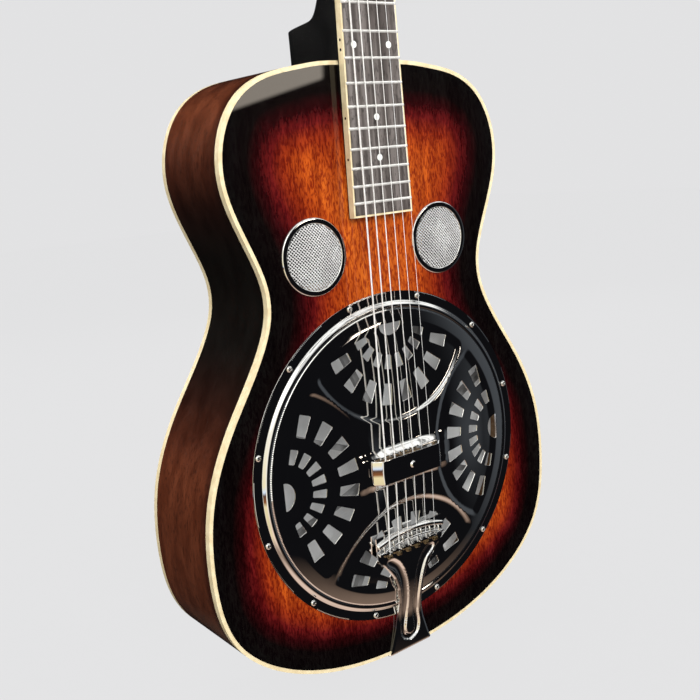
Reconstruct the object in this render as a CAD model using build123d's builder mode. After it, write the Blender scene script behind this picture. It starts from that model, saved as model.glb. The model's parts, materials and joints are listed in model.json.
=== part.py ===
from build123d import *
from math import cos, radians, sin
import os

os.makedirs("parts", exist_ok=True)

# ---------------------------------------------------------------------------
# Driving dimensions (mm).  +Z runs up the neck, the front of the guitar faces
# -Y, +X is the viewer's right.  Everything is drawn from the tail face and
# lifted by PIN_NECK when written, so the origin is the strap pin's neck.
# ---------------------------------------------------------------------------
SCALE = 645.0
PIN_NECK = 8.0
SADDLE_Z = 178.0
NUT_Z = SADDLE_Z + SCALE
BODY_LENGTH = 500.0
TOP_Y = -46.5
DEPTH_TAIL = 94.5
DEPTH_NECK = 86.5

TOP_THICK = 3.5
BACK_THICK = 3.0
SIDE_THICK = 2.5
BINDING_WIDE = 2.4
BINDING_TALL = 5.5
PURFLING_WIDE = 0.6
LINING_WIDE = 6.0
LINING_TALL = 13.5

WELL_R = 134.2
LEDGE_R = 124.0
LEDGE_DEPTH = 18.0
COVER_R = 142.0
COVER_THICK = 0.9
PLATEAU_H = 9.6
PLATE_WALL = 1.5
TURRET_H = 5.9
TURRET_LONG = 49.0
TURRET_WIDE = 17.0
TURRET_CORNER = 14.0
TURRET_Z = -1.0
SCREW_R = 138.4
HOLE_X = 64.5
HOLE_Z = SADDLE_Z + 178.9
HOLE_R = 28.5
RING_R = 30.0
MESH_R = 25.4

FAN_X = 113.5
FAN_SMALL_X = 117.0
FAN_STEP = 19.8
FAN_BIG = (46.5, 64.5, 4.75)
FAN_SMALL = (26.0, 38.0, 5.6)
HALF_MOON_R = 11.4
HALF_MOON_DEEP = 10.0
LOBE_R = 87.5
LOBE_CENTRE = 121.0
LOBE_DEEP = 0.6

NECK_H = 3.2
BOARD_H = 9.1
BOARD_END_Z = SADDLE_Z + 204.5
BOARD_WIDE_12 = 55.2
NUT_WIDE = 43.0
NUT_THICK = 5.0
BOARD_BINDING = 1.5
FRETS = 19
FRET_WIDE = 2.2
FRET_TALL = 0.9

HEAD_TILT = 14.0
HEAD_THICK = 15.0
VENEER = 1.5
HEAD_HALF = 31.0
SLOT_IN = 7.5
SLOT_OUT = 22.5
SLOT_LOW = 20.0
SLOT_HIGH = 144.0
HEAD_TOP = 170.0

POST_R = 3.0
POST_U = (47.0, 82.0, 117.0)
POST_N = -5.5
PLATE_THICK = 1.2
GEAR_X = 34.2
GEAR_THICK = 2.5
GEAR_TIP = 6.4
GEAR_ROOT = 4.9
TEETH = 14
WORM_GAP = 8.0
WORM_R = 1.5

SADDLE_H = 17.3
NUT_H = 10.95
STRING_SPACE_SADDLE = 10.0
STRING_SPACE_NUT = 7.5
STRING_R = (0.67, 0.53, 0.41, 0.31, 0.20, 0.15)
LIP_Z = SADDLE_Z - 75.0
LIP_THICK = 1.4
LIP_STRING_H = 14.0

FACE = Plane(origin=(0, TOP_Y, 0), x_dir=(1, 0, 0), z_dir=(0, -1, 0))
WELL = Plane(origin=(0, TOP_Y, SADDLE_Z), x_dir=(1, 0, 0), z_dir=(0, -1, 0))
BACK_TILT = (DEPTH_TAIL - DEPTH_NECK) / BODY_LENGTH
BACK = Plane(origin=(0, TOP_Y + DEPTH_TAIL, 0), x_dir=(1, 0, 0), z_dir=(0, 1, BACK_TILT))
TILT_S = sin(radians(HEAD_TILT))
TILT_C = cos(radians(HEAD_TILT))
HEAD_ORIGIN = (0, TOP_Y - NECK_H, NUT_Z + NUT_THICK)
HEAD = Plane(origin=HEAD_ORIGIN, x_dir=(1, 0, 0), z_dir=(0, -TILT_C, TILT_S))


def save(builder, name):
    """Label one finished piece, lift it from the tail face to the strap pin and write it."""
    piece = Location((0, 0, PIN_NECK)) * builder.part
    piece.label = name
    export_step(piece, "parts/" + name + ".step")


def fret_z(number):
    return SADDLE_Z + SCALE * 2 ** (-number / 12)


def board_half(z):
    """Half the fingerboard width at height z, binding included."""
    wide = BOARD_WIDE_12 + (NUT_WIDE - BOARD_WIDE_12) * (z - fret_z(12)) / (NUT_Z - fret_z(12))
    return wide / 2


def head_point(x, u, n):
    """A point on the tilted headstock: across, along and out of its face."""
    return (x, HEAD_ORIGIN[1] + u * TILT_S - n * TILT_C, HEAD_ORIGIN[2] + u * TILT_C + n * TILT_S)


# ---------------------------------------------------------------------------
# Body box: top, sides, back, bindings, linings, blocks and braces
# ---------------------------------------------------------------------------
with BuildLine() as half_outline:
    Spline(
        (0, 0), (62, 5.5), (127, 29), (172, 72), (184.1, 133), (178, 187), (154, 241),
        (123, 290), (110.8, 326), (121, 367), (138.3, 424), (128, 464), (96, 490),
        (46, 499), (0, BODY_LENGTH),
        tangents=((1, 0), (-1, 0)),
    )


def outline(inset):
    """The body outline, moved inward by inset."""
    curve = half_outline.line.edges()[0]
    count = 36
    points = []
    for k in range(count + 1):
        spot = curve.position_at(k / count)
        along = curve.tangent_at(k / count)
        points.append((spot.X - inset * along.Y, spot.Y + inset * along.X))
    with BuildSketch() as shape:
        with BuildLine():
            Spline(*points, tangents=((1, 0), (-1, 0)))
            Line(points[-1], points[0])
        make_face()
        mirror(about=Plane.YZ)
    return shape.sketch


EDGE = outline(0)
BINDING_IN = outline(BINDING_WIDE)
PURFLING_OUT = outline(BINDING_WIDE + 0.05)
PURFLING_IN = outline(BINDING_WIDE + 0.05 + PURFLING_WIDE)
TOP_EDGE = outline(BINDING_WIDE + 0.1 + PURFLING_WIDE)
SIDE_IN = outline(SIDE_THICK)
BLOCK_EDGE = outline(SIDE_THICK + 0.05)
LINING_IN = outline(SIDE_THICK + LINING_WIDE)
BRACE_EDGE = outline(SIDE_THICK + LINING_WIDE + 0.2)
BLOCK_Z = BODY_LENGTH - 45
TAIL_BLOCK_Z = 26.0
BLOCK_HALF = 40.0
TAIL_BLOCK_HALF = 30.0
BINDING_BACK = 5.0

with BuildPart() as top:
    with BuildSketch(FACE):
        add(TOP_EDGE)
        with Locations((0, SADDLE_Z)):
            Circle(WELL_R, mode=Mode.SUBTRACT)
        with Locations((-HOLE_X, HOLE_Z), (HOLE_X, HOLE_Z)):
            Circle(HOLE_R, mode=Mode.SUBTRACT)
    extrude(amount=-TOP_THICK)
    with Locations(WELL):
        with PolarLocations(SCREW_R, 12, start_angle=15):
            Cylinder(1.1, 2 * TOP_THICK, mode=Mode.SUBTRACT)
save(top, "top")

with BuildPart() as front_binding:
    with BuildSketch(FACE):
        add(EDGE)
        add(BINDING_IN, mode=Mode.SUBTRACT)
    extrude(amount=-BINDING_TALL)
    with BuildSketch(FACE):
        add(PURFLING_OUT)
        add(PURFLING_IN, mode=Mode.SUBTRACT)
    extrude(amount=-TOP_THICK)
save(front_binding, "front_binding")

with BuildPart() as sides:
    with BuildSketch(FACE.offset(-BINDING_TALL)):
        add(EDGE)
        add(SIDE_IN, mode=Mode.SUBTRACT)
    extrude(amount=-DEPTH_TAIL)
    split(bisect_by=BACK.offset(-BINDING_BACK), keep=Keep.BOTTOM)
    Cylinder(3.1, 4 * SIDE_THICK, mode=Mode.SUBTRACT)
save(sides, "sides")

with BuildPart() as back:
    with BuildSketch(FACE.offset(-DEPTH_NECK + 15)):
        add(BLOCK_EDGE)
    extrude(amount=-30)
    split(bisect_by=BACK, keep=Keep.BOTTOM)
    split(bisect_by=BACK.offset(-BACK_THICK), keep=Keep.TOP)
save(back, "back")

with BuildPart() as back_binding:
    with BuildSketch(FACE.offset(-DEPTH_NECK + 15)):
        add(EDGE)
        add(SIDE_IN, mode=Mode.SUBTRACT)
    extrude(amount=-30)
    split(bisect_by=BACK, keep=Keep.BOTTOM)
    split(bisect_by=BACK.offset(-BINDING_BACK), keep=Keep.TOP)
save(back_binding, "back_binding")

with BuildSketch() as lining_shape:
    add(BLOCK_EDGE)
    add(LINING_IN, mode=Mode.SUBTRACT)
    with Locations((0, BODY_LENGTH)):
        Rectangle(2 * BLOCK_HALF + 0.4, 60, mode=Mode.SUBTRACT)
    Rectangle(2 * TAIL_BLOCK_HALF + 0.4, 60, mode=Mode.SUBTRACT)

with BuildPart() as back_lining:
    with BuildSketch(FACE.offset(-60)):
        add(lining_shape.sketch)
    extrude(amount=-60)
    split(bisect_by=BACK.offset(-BACK_THICK), keep=Keep.BOTTOM)
    split(bisect_by=BACK.offset(-BACK_THICK - LINING_TALL), keep=Keep.TOP)

with BuildPart() as linings:
    with BuildSketch(FACE.offset(-TOP_THICK)):
        add(lining_shape.sketch)
    extrude(amount=-LINING_TALL)
    add(back_lining.part)
save(linings, "linings")

with BuildPart() as neck_block:
    with BuildSketch(FACE.offset(-TOP_THICK)):
        add(BLOCK_EDGE)
        with Locations((0, BLOCK_Z + 50)):
            Rectangle(2 * BLOCK_HALF, 100, mode=Mode.INTERSECT)
    extrude(amount=-DEPTH_TAIL)
    split(bisect_by=BACK.offset(-BACK_THICK), keep=Keep.BOTTOM)
    with Locations((0, TOP_Y + 25, BODY_LENGTH), (0, TOP_Y + 60, BODY_LENGTH)):
        Cylinder(3.2, 120, mode=Mode.SUBTRACT)
save(neck_block, "neck_block")

with BuildPart() as tail_block:
    with BuildSketch(FACE.offset(-TOP_THICK)):
        add(BLOCK_EDGE)
        with Locations((0, TAIL_BLOCK_Z - 50)):
            Rectangle(2 * TAIL_BLOCK_HALF, 100, mode=Mode.INTERSECT)
    extrude(amount=-DEPTH_TAIL)
    split(bisect_by=BACK.offset(-BACK_THICK), keep=Keep.BOTTOM)
    Cylinder(2.0, 44, mode=Mode.SUBTRACT)
save(tail_block, "tail_block")

BRACE_Z = (75.0, 190.0, 320.0, 430.0)
with BuildPart() as back_braces:
    with BuildSketch(FACE.offset(-60)):
        with Locations(*[(0, z) for z in BRACE_Z]):
            Rectangle(400, 8)
        add(BRACE_EDGE, mode=Mode.INTERSECT)
    extrude(amount=-60)
    split(bisect_by=BACK.offset(-BACK_THICK), keep=Keep.BOTTOM)
    split(bisect_by=BACK.offset(-BACK_THICK - 14), keep=Keep.TOP)
save(back_braces, "back_braces")

with BuildPart() as soundwell:
    with BuildSketch(WELL.offset(-TOP_THICK)):
        Circle(WELL_R + 12)
        Circle(WELL_R, mode=Mode.SUBTRACT)
    extrude(amount=-(LEDGE_DEPTH - TOP_THICK))
    with BuildSketch(WELL.offset(-LEDGE_DEPTH)):
        Circle(WELL_R + 12)
        Circle(LEDGE_R, mode=Mode.SUBTRACT)
    extrude(amount=-6)
    with Locations(WELL):
        with PolarLocations(SCREW_R, 12, start_angle=15):
            Cylinder(1.1, 20, mode=Mode.SUBTRACT)
save(soundwell, "soundwell")

# ---------------------------------------------------------------------------
# Resonator: cone, spider, saddles and tension screw
# ---------------------------------------------------------------------------
# Cross-sections through the well: local X is the radius, local Y the height
# above the soundboard.
SECTION = Plane(origin=(0, TOP_Y, SADDLE_Z), x_dir=(1, 0, 0), z_dir=(0, 0, 1))


def turned(points):
    """Radius and height pairs as points of the cross-section plane."""
    return [(r, -h) for r, h in points]


CONE_T = 0.5
CONE_LOW = -LEDGE_DEPTH
with BuildPart() as cone:
    with BuildSketch(SECTION):
        with BuildLine():
            Polyline(*turned([
                (133.4, CONE_LOW), (123.4, CONE_LOW), (120.4, CONE_LOW - 2.5), (58.0, CONE_LOW - 24),
                (48.0, CONE_LOW - 24), (14.0, CONE_LOW - 4), (2.3, CONE_LOW - 4),
                (2.3, CONE_LOW - 4 + CONE_T), (14.3, CONE_LOW - 4 + CONE_T),
                (48.2, CONE_LOW - 24 + CONE_T), (57.8, CONE_LOW - 24 + CONE_T),
                (120.0, CONE_LOW - 2.5 + CONE_T), (123.2, CONE_LOW + CONE_T),
                (133.4, CONE_LOW + CONE_T),
            ]), close=True)
        make_face()
    revolve(axis=Axis((0, TOP_Y, SADDLE_Z), (0, 1, 0)))
save(cone, "cone")

SPIDER_FOOT = CONE_LOW + CONE_T
with BuildPart() as spider:
    with BuildSketch(WELL.offset(-5)):
        Circle(30)
        Rectangle(70, 14)
    extrude(amount=6)
    for k in range(8):
        turn = Plane(WELL.location * Location((0, 0, 0), (0, 0, 22.5 + 45 * k)))
        blade = Plane(origin=turn.origin, x_dir=turn.x_dir, z_dir=turn.y_dir * -1)
        with BuildSketch(blade):
            with BuildLine():
                Polyline(
                    (20, 0.5), (60, -2.0), (124, -9.5), (132, -11.5), (132, SPIDER_FOOT),
                    (127, SPIDER_FOOT), (123.5, -14.5), (60, -7.5), (20, -5.0), close=True)
            make_face()
        extrude(amount=2.5, both=True)
    with BuildSketch(WELL.offset(-3)):
        with Locations((-13.5, 0), (13.5, 0)):
            Rectangle(25.2, 3.2)
    extrude(amount=10, mode=Mode.SUBTRACT)
    with Locations(WELL):
        Cylinder(2.1, 30, mode=Mode.SUBTRACT)
save(spider, "spider")


def string_x(number, part):
    """Across position of a string: 0 at the saddle, 1 at the nut."""
    space = STRING_SPACE_SADDLE + (STRING_SPACE_NUT - STRING_SPACE_SADDLE) * part
    return (number - 2.5) * space


with BuildPart() as saddles:
    with BuildSketch(Plane.YZ.offset(-26)):
        with BuildLine():
            Polyline(
                (TOP_Y + 3, SADDLE_Z - 1.5), (TOP_Y + 3, SADDLE_Z + 1.5),
                (TOP_Y - SADDLE_H - 0.3, SADDLE_Z + 1.5), (TOP_Y - SADDLE_H - 0.3, SADDLE_Z - 1.5),
                close=True)
        make_face()
    extrude(amount=52)
    with Locations((0, TOP_Y - 8, SADDLE_Z)):
        Box(2, 30, 4, mode=Mode.SUBTRACT)
    with Locations((0, TOP_Y, SADDLE_Z)):
        Box(8.6, 14, 4, mode=Mode.SUBTRACT)
    for i, r in enumerate(STRING_R):
        floor = TOP_Y - SADDLE_H + r
        with BuildSketch(Plane.YZ.offset(string_x(i, 0) - r - 0.05)):
            with BuildLine():
                Polyline(
                    (floor, SADDLE_Z), (floor + 0.25, SADDLE_Z + 2), (floor - 9, SADDLE_Z + 2),
                    (floor - 9, SADDLE_Z - 2), (floor + 0.25, SADDLE_Z - 2), close=True)
            make_face()
        extrude(amount=2 * r + 0.1, mode=Mode.SUBTRACT)
save(saddles, "saddles")

with BuildPart() as tension_screw:
    with BuildSketch(WELL.offset(1)):
        Circle(3.6)
    extrude(amount=2.2)
    with BuildSketch(WELL.offset(1)):
        Circle(2.0)
    extrude(amount=-27)
    with BuildSketch(WELL.offset(CONE_LOW - 4)):
        RegularPolygon(4.0, 6)
    extrude(amount=-3)
    with BuildSketch(WELL.offset(3.2)):
        Rectangle(8, 0.8)
    extrude(amount=-1.2, mode=Mode.SUBTRACT)
save(tension_screw, "tension_screw")

# ---------------------------------------------------------------------------
# Coverplate, its screws, palm rest
# ---------------------------------------------------------------------------
BEAD_OUT = 133.6
BEAD_IN = 128.6
BEAD_H = 3.6


def dome(lift):
    """Outer surface of the coverplate dome as radius and height, raised by lift."""
    return [(BEAD_IN, 1.4 + lift), (120, 4.6 + lift), (105, 7.0 + lift), (80, 8.8 + lift),
            (50, PLATEAU_H + lift)]


def fan(reach, x, count=8):
    """Cut-outs of one arc of a fan about (-x, 0): trapezoids with radial sides."""
    low, high, half = reach
    with BuildSketch() as shape:
        for k in range(count):
            a = radians((k - (count - 1) / 2) * FAN_STEP)
            corners = []
            for r, s in ((low, -1), (high, -1), (high, 1), (low, 1)):
                b = a + s * radians(half)
                corners.append((-x + r * cos(b), r * sin(b)))
            with BuildLine():
                Polyline(*corners, close=True)
            make_face()
    return shape.sketch


with BuildSketch() as fan_cuts:
    add(fan(FAN_BIG, FAN_X))
    add(fan(FAN_SMALL, FAN_SMALL_X))
    with Locations((-FAN_SMALL_X, 0)):
        Ellipse(HALF_MOON_DEEP, HALF_MOON_R)
    with Locations((-FAN_SMALL_X - 50, 0)):
        Rectangle(100, 60, mode=Mode.SUBTRACT)

with BuildPart() as recess:
    with BuildSketch(SECTION):
        with BuildLine():
            Polyline(*turned(dome(1) + [(0, PLATEAU_H + 1), (0, PLATEAU_H - LOBE_DEEP)]
                             + list(reversed(dome(-LOBE_DEEP)))), close=True)
        make_face()
    revolve(axis=Axis((0, TOP_Y, SADDLE_Z), (0, 1, 0)))
    with BuildSketch(WELL):
        with PolarLocations(LOBE_CENTRE, 4):
            Circle(LOBE_R)
        Circle(120, mode=Mode.INTERSECT)
    extrude(amount=20, mode=Mode.INTERSECT)

with BuildPart() as coverplate:
    with BuildSketch(SECTION):
        with BuildLine():
            Polyline(*turned(
                [(COVER_R, 0), (COVER_R, COVER_THICK), (BEAD_OUT, COVER_THICK),
                 (BEAD_OUT - 0.7, BEAD_H - 0.7), (BEAD_OUT - 1.8, BEAD_H), (BEAD_IN + 1.8, BEAD_H),
                 (BEAD_IN + 0.7, BEAD_H - 0.7)] + dome(0)
                + [(0, PLATEAU_H), (0, PLATEAU_H - PLATE_WALL)]
                + list(reversed(dome(-PLATE_WALL))) + [(BEAD_IN, 0)]), close=True)
        make_face()
    revolve(axis=Axis((0, TOP_Y, SADDLE_Z), (0, 1, 0)))
    add(recess.part, mode=Mode.SUBTRACT)
    for low, rise, mode in ((PLATEAU_H - 1, TURRET_H + 1, Mode.ADD),
                            (PLATEAU_H - 3, TURRET_H + 3 - PLATE_WALL, Mode.SUBTRACT)):
        for inset in (0, rise):
            with BuildSketch(WELL.offset(low + inset)):
                with Locations((0, TURRET_Z)):
                    RectangleRounded(2 * (TURRET_LONG - inset), 2 * (TURRET_WIDE - inset),
                                     TURRET_CORNER - inset)
        loft(mode=mode)
    with BuildSketch(WELL):
        with PolarLocations(0, 4):
            add(fan_cuts.sketch)
        with Locations((0, -0.5)):
            Rectangle(60, 17)
    extrude(amount=20, mode=Mode.SUBTRACT)
    with Locations(WELL):
        with PolarLocations(SCREW_R, 12, start_angle=15):
            Cylinder(1.6, 10, mode=Mode.SUBTRACT)
save(coverplate, "coverplate")

with BuildPart() as coverplate_screws:
    with BuildSketch(WELL.offset(COVER_THICK)):
        with PolarLocations(SCREW_R, 12, start_angle=15):
            Circle(2.4)
    extrude(amount=1.6, taper=28)
    with BuildSketch(WELL.offset(COVER_THICK)):
        with PolarLocations(SCREW_R, 12, start_angle=15):
            Circle(1.1)
    extrude(amount=-10)
save(coverplate_screws, "coverplate_screws")

PALM_H = 22.3
PALM_HALF = 31.0
PALM_LOW = -11.4
PALM_HIGH = 9.2
PALM_T = 1.2
PALM_FOOT = PLATEAU_H + TURRET_H
with BuildPart() as palm_rest:
    with BuildSketch(Plane.XY.offset(SADDLE_Z + PALM_LOW)):
        with BuildLine():
            over = [(PALM_HALF + PALM_H - PALM_FOOT, PALM_FOOT), (PALM_HALF, PALM_H)]
            under = [(PALM_HALF - 0.5, PALM_H - PALM_T),
                     (PALM_HALF + PALM_H - PALM_FOOT - 1.7, PALM_FOOT)]
            right = [(x, TOP_Y - h) for x, h in over]
            left = [(-x, TOP_Y - h) for x, h in reversed(over)]
            low_left = [(-x, TOP_Y - h) for x, h in reversed(under)]
            low_right = [(x, TOP_Y - h) for x, h in under]
            Polyline(*(right + left + low_left + low_right), close=True)
        make_face()
    extrude(amount=PALM_HIGH - PALM_LOW)
    with Locations((0, TOP_Y - PALM_H, SADDLE_Z - 1)):
        Cylinder(2.2, 6, rotation=(90, 0, 0), mode=Mode.SUBTRACT)
save(palm_rest, "palm_rest")

PALM_TOP = Plane(origin=(0, TOP_Y - PALM_H, SADDLE_Z - 1), x_dir=(1, 0, 0), z_dir=(0, -1, 0))
with BuildPart() as palm_screw:
    with BuildSketch(PALM_TOP):
        Circle(3.0)
    extrude(amount=1.6, taper=28)
    with BuildSketch(PALM_TOP):
        Circle(2.15)
    extrude(amount=-PALM_T)
save(palm_screw, "palm_screw")

# ---------------------------------------------------------------------------
# Soundhole rings and screens
# ---------------------------------------------------------------------------
HOLES = ((-HOLE_X, HOLE_Z), (HOLE_X, HOLE_Z))
with BuildPart() as soundhole_rings:
    with BuildSketch(FACE):
        with Locations(*HOLES):
            Circle(RING_R)
            Circle(MESH_R, mode=Mode.SUBTRACT)
    extrude(amount=1.6)
    with BuildSketch(FACE):
        with Locations(*HOLES):
            Circle(HOLE_R - 0.1)
            Circle(HOLE_R - 1.1, mode=Mode.SUBTRACT)
    extrude(amount=-8)
save(soundhole_rings, "soundhole_rings")

SCREEN_RISE = 3.0
SCREEN_T = 0.8
with BuildPart() as soundhole_screens:
    for x, z in HOLES:
        seat = Plane(origin=(x, TOP_Y, z), x_dir=(1, 0, 0), z_dir=(0, 0, 1))
        with BuildSketch(seat):
            with BuildLine():
                rim = [(r, -SCREEN_RISE * (1 - (r / MESH_R) ** 2)) for r in (0, 7, 14, 20, 25.1)]
                Polyline(*(rim + [(25.3, 0.05), (HOLE_R - 1.2, 0.05), (HOLE_R - 1.2, 0.7), (25.1, 0.7)]
                           + [(r, h + SCREEN_T) for r, h in reversed(rim[:-1])]), close=True)
            make_face()
        revolve(axis=Axis((x, TOP_Y, z), (0, 1, 0)))
save(soundhole_screens, "soundhole_screens")

# ---------------------------------------------------------------------------
# Tailpiece and strap pin
# ---------------------------------------------------------------------------
TAIL_T = 1.4
tail_low = [(-60, 10.0), (-84, 10.0), (-115, 7.6), (-132, 4.8), (-146, 1.7), (-156, 0.2)]
END_Z = -SADDLE_Z - 0.1
with BuildPart() as tailpiece:
    with BuildSketch(Plane(origin=(-40, TOP_Y, SADDLE_Z), x_dir=(0, -1, 0), z_dir=(-1, 0, 0))):
        with BuildLine():
            inner = [(h, z) for z, h in tail_low]
            outer = [(h + TAIL_T, z) for z, h in reversed(tail_low)]
            Polyline(*(inner + [(0.2, END_Z), (-58, END_Z), (-58, END_Z - TAIL_T),
                                (0.2, END_Z - TAIL_T), (1.2, END_Z - TAIL_T + 0.4), (1.6, END_Z)]
                       + outer), close=True)
        make_face()
    extrude(amount=-80)
    with BuildSketch(WELL.offset(-70)):
        with BuildLine():
            Line((-37, -60), (37, -60))
            Line((37, -60), (37, -80))
            Spline((37, -80), (19, -103), (13, -130), (16, -155), (25, -182),
                   tangents=((-0.3, -1), (0.55, -1)))
            Line((25, -182), (-25, -182))
            Spline((-25, -182), (-16, -155), (-13, -130), (-19, -103), (-37, -80),
                   tangents=((0.55, 1), (-0.3, 1)))
            Line((-37, -80), (-37, -60))
        make_face()
    extrude(amount=90, mode=Mode.INTERSECT)
    with Locations((0, TOP_Y - 13.2, LIP_Z - LIP_THICK / 2)):
        Box(72, 6.6, LIP_THICK)
    for i, r in enumerate(STRING_R):
        with Locations((string_x(i, -0.116), TOP_Y - LIP_STRING_H - 1.5, LIP_Z - LIP_THICK / 2)):
            Box(2 * r + 0.3, 5 + 2 * r, 2 * LIP_THICK, mode=Mode.SUBTRACT)
    Cylinder(3.1, 20, mode=Mode.SUBTRACT)
save(tailpiece, "tailpiece")

with BuildPart() as strap_pin:
    with BuildSketch(Plane.XZ):
        with BuildLine():
            Polyline((0, 18), (1.95, 18), (1.95, -1.5), (4.6, -1.5), (6.5, -3.0), (3.5, -5.5),
                     (3.5, -10.5), (7.0, -12.5), (6.4, -15.0), (0, -15.6), close=True)
        make_face()
    revolve(axis=Axis.Z)
save(strap_pin, "strap_pin")

# ---------------------------------------------------------------------------
# Neck, headstock and fingerboard
# ---------------------------------------------------------------------------
NECK_Y = TOP_Y - NECK_H
JOINT_Z = BODY_LENGTH + 0.01


def d_section(half, deep):
    """Rounded back of the neck: flat under the fingerboard."""
    with BuildSketch() as shape:
        with Locations((0, NECK_Y)):
            Ellipse(half, deep)
        with Locations((0, NECK_Y + 50)):
            Rectangle(200, 100, mode=Mode.INTERSECT)
    return shape.sketch


with BuildSketch() as head_outline:
    with BuildLine():
        rise = Spline((22, 0), (HEAD_HALF, 27), tangents=((0.1, 1), (0, 1)))
        Line(rise @ 1, (HEAD_HALF, 155))
        Spline((HEAD_HALF, 155), (24, HEAD_TOP - 3), (12, HEAD_TOP - 5), (0, HEAD_TOP),
               tangents=((0, 1), (-1, 0.6)))
        Line((0, HEAD_TOP), (0, 0))
        Line((0, 0), (22, 0))
    make_face()
    mirror(about=Plane.YZ)
    for side in (-1, 1):
        with Locations((side * (SLOT_IN + SLOT_OUT) / 2, (SLOT_LOW + SLOT_HIGH) / 2)):
            SlotOverall(SLOT_HIGH - SLOT_LOW, SLOT_OUT - SLOT_IN, rotation=90,
                        mode=Mode.SUBTRACT)


ROD_Z = BODY_LENGTH + 6
ROD_TOP = NUT_Z + NUT_THICK + 14
with BuildPart() as heel:
    with BuildSketch(Plane.YZ):
        with BuildLine():
            Polyline((NECK_Y, JOINT_Z), (TOP_Y + 83, JOINT_Z),
                     (TOP_Y + 83, BODY_LENGTH + 22))
            ThreePointArc((TOP_Y + 83, BODY_LENGTH + 22), (TOP_Y + 80, BODY_LENGTH + 28.5),
                          (TOP_Y + 73, BODY_LENGTH + 31))
            Line((TOP_Y + 73, BODY_LENGTH + 31), (TOP_Y + 42, BODY_LENGTH + 34))
            Spline((TOP_Y + 42, BODY_LENGTH + 34), (TOP_Y + 27, BODY_LENGTH + 43),
                   (TOP_Y + 16.5, BODY_LENGTH + 66), tangents=((-1, 0.1), (-0.1, 1)))
            Polyline((TOP_Y + 16.5, BODY_LENGTH + 66), (NECK_Y, BODY_LENGTH + 66),
                     (NECK_Y, JOINT_Z))
        make_face()
    extrude(amount=30, both=True)
    with BuildSketch(Plane.XY.offset(JOINT_Z)):
        with BuildLine():
            Spline((27.4, NECK_Y), (26.5, TOP_Y + 8), (20, TOP_Y + 45), (15, TOP_Y + 78),
                   (9, TOP_Y + 83), (0, TOP_Y + 83.5), tangents=((0, 1), (-1, 0)))
            Line((0, TOP_Y + 83.5), (0, NECK_Y))
            Line((0, NECK_Y), (27.4, NECK_Y))
        make_face()
        mirror(about=Plane.YZ)
    extrude(amount=80, mode=Mode.INTERSECT)

with BuildPart() as neck:
    with BuildSketch(Plane.XY.offset(JOINT_Z)):
        add(d_section(board_half(BODY_LENGTH) - 0.1, 20))
    with BuildSketch(Plane.XY.offset(NUT_Z + NUT_THICK)):
        add(d_section(NUT_WIDE / 2, HEAD_THICK))
    loft(ruled=True)
    with BuildSketch(FACE.offset(0.1)):
        with BuildLine():
            Polyline((board_half(BOARD_END_Z) - 2, BOARD_END_Z + 2), (26, BODY_LENGTH + 1),
                     (-26, BODY_LENGTH + 1), (-board_half(BOARD_END_Z) + 2, BOARD_END_Z + 2),
                     close=True)
        make_face()
    extrude(amount=NECK_H - 0.1)
    add(heel.part)
    with BuildSketch(HEAD):
        add(head_outline.sketch)
    extrude(amount=-HEAD_THICK)
    for u in POST_U:
        for side in (-1, 1):
            bore = head_point(side * (HEAD_HALF + 3.5) / 2, u, POST_N)
            with Locations(Location(bore, (0, 90, 0))):
                Cylinder(POST_R + 0.05, HEAD_HALF - 3.4, mode=Mode.SUBTRACT)
    with Locations((0, NECK_Y + 4.1, (ROD_Z + ROD_TOP) / 2)):
        Box(6.4, 8.4, ROD_TOP - ROD_Z, mode=Mode.SUBTRACT)
    with BuildSketch(HEAD):
        with Locations((0, 9)):
            RectangleRounded(9, 14, 4)
    extrude(amount=-9, mode=Mode.SUBTRACT)
    with Locations((0, TOP_Y + 25, BODY_LENGTH), (0, TOP_Y + 60, BODY_LENGTH)):
        Cylinder(2.4, 40, mode=Mode.SUBTRACT)
save(neck, "neck")

with BuildPart() as neck_bolts:
    with Locations((0, TOP_Y + 25, BODY_LENGTH - 16), (0, TOP_Y + 60, BODY_LENGTH - 16)):
        Cylinder(2.4, 70)
    with Locations((0, TOP_Y + 25, BLOCK_Z - 2.1), (0, TOP_Y + 60, BLOCK_Z - 2.1)):
        Cylinder(6.5, 4)
save(neck_bolts, "neck_bolts")

with BuildPart() as headplate:
    with BuildSketch(HEAD):
        add(head_outline.sketch)
        with Locations((0, 9)):
            RectangleRounded(9, 14, 4, mode=Mode.SUBTRACT)
    extrude(amount=VENEER)
save(headplate, "headplate")

with BuildPart() as truss_rod:
    with Locations((0, NECK_Y + 5.25, (ROD_Z + NUT_Z + 7) / 2)):
        Box(6.0, 6.0, NUT_Z + 7 - ROD_Z)
    with Locations((0, NECK_Y + 5.25, NUT_Z + 10)):
        Cylinder(2.6, 6)
save(truss_rod, "truss_rod")

with BuildPart() as truss_cover:
    with BuildSketch(HEAD.offset(VENEER)):
        with BuildLine():
            Line((0, 0.8), (8.5, 0.8))
            Spline((8.5, 0.8), (5.5, 11), (3.6, 19), (0, 21.5), tangents=((0, 1), (-1, 0)))
            Line((0, 21.5), (0, 0.8))
        make_face()
        mirror(about=Plane.YZ)
        with Locations((0, 18.6), (-5.9, 3.4), (5.9, 3.4)):
            Circle(0.9, mode=Mode.SUBTRACT)
    extrude(amount=1.4)
save(truss_cover, "truss_cover")

with BuildPart() as truss_cover_screws:
    with BuildSketch(HEAD.offset(VENEER + 1.4)):
        with Locations((0, 18.6), (-5.9, 3.4), (5.9, 3.4)):
            Circle(1.5)
    extrude(amount=0.7, taper=25)
    with BuildSketch(HEAD.offset(VENEER + 1.4)):
        with Locations((0, 18.6), (-5.9, 3.4), (5.9, 3.4)):
            Circle(0.85)
    extrude(amount=-1.4)
save(truss_cover_screws, "truss_cover_screws")


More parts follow.
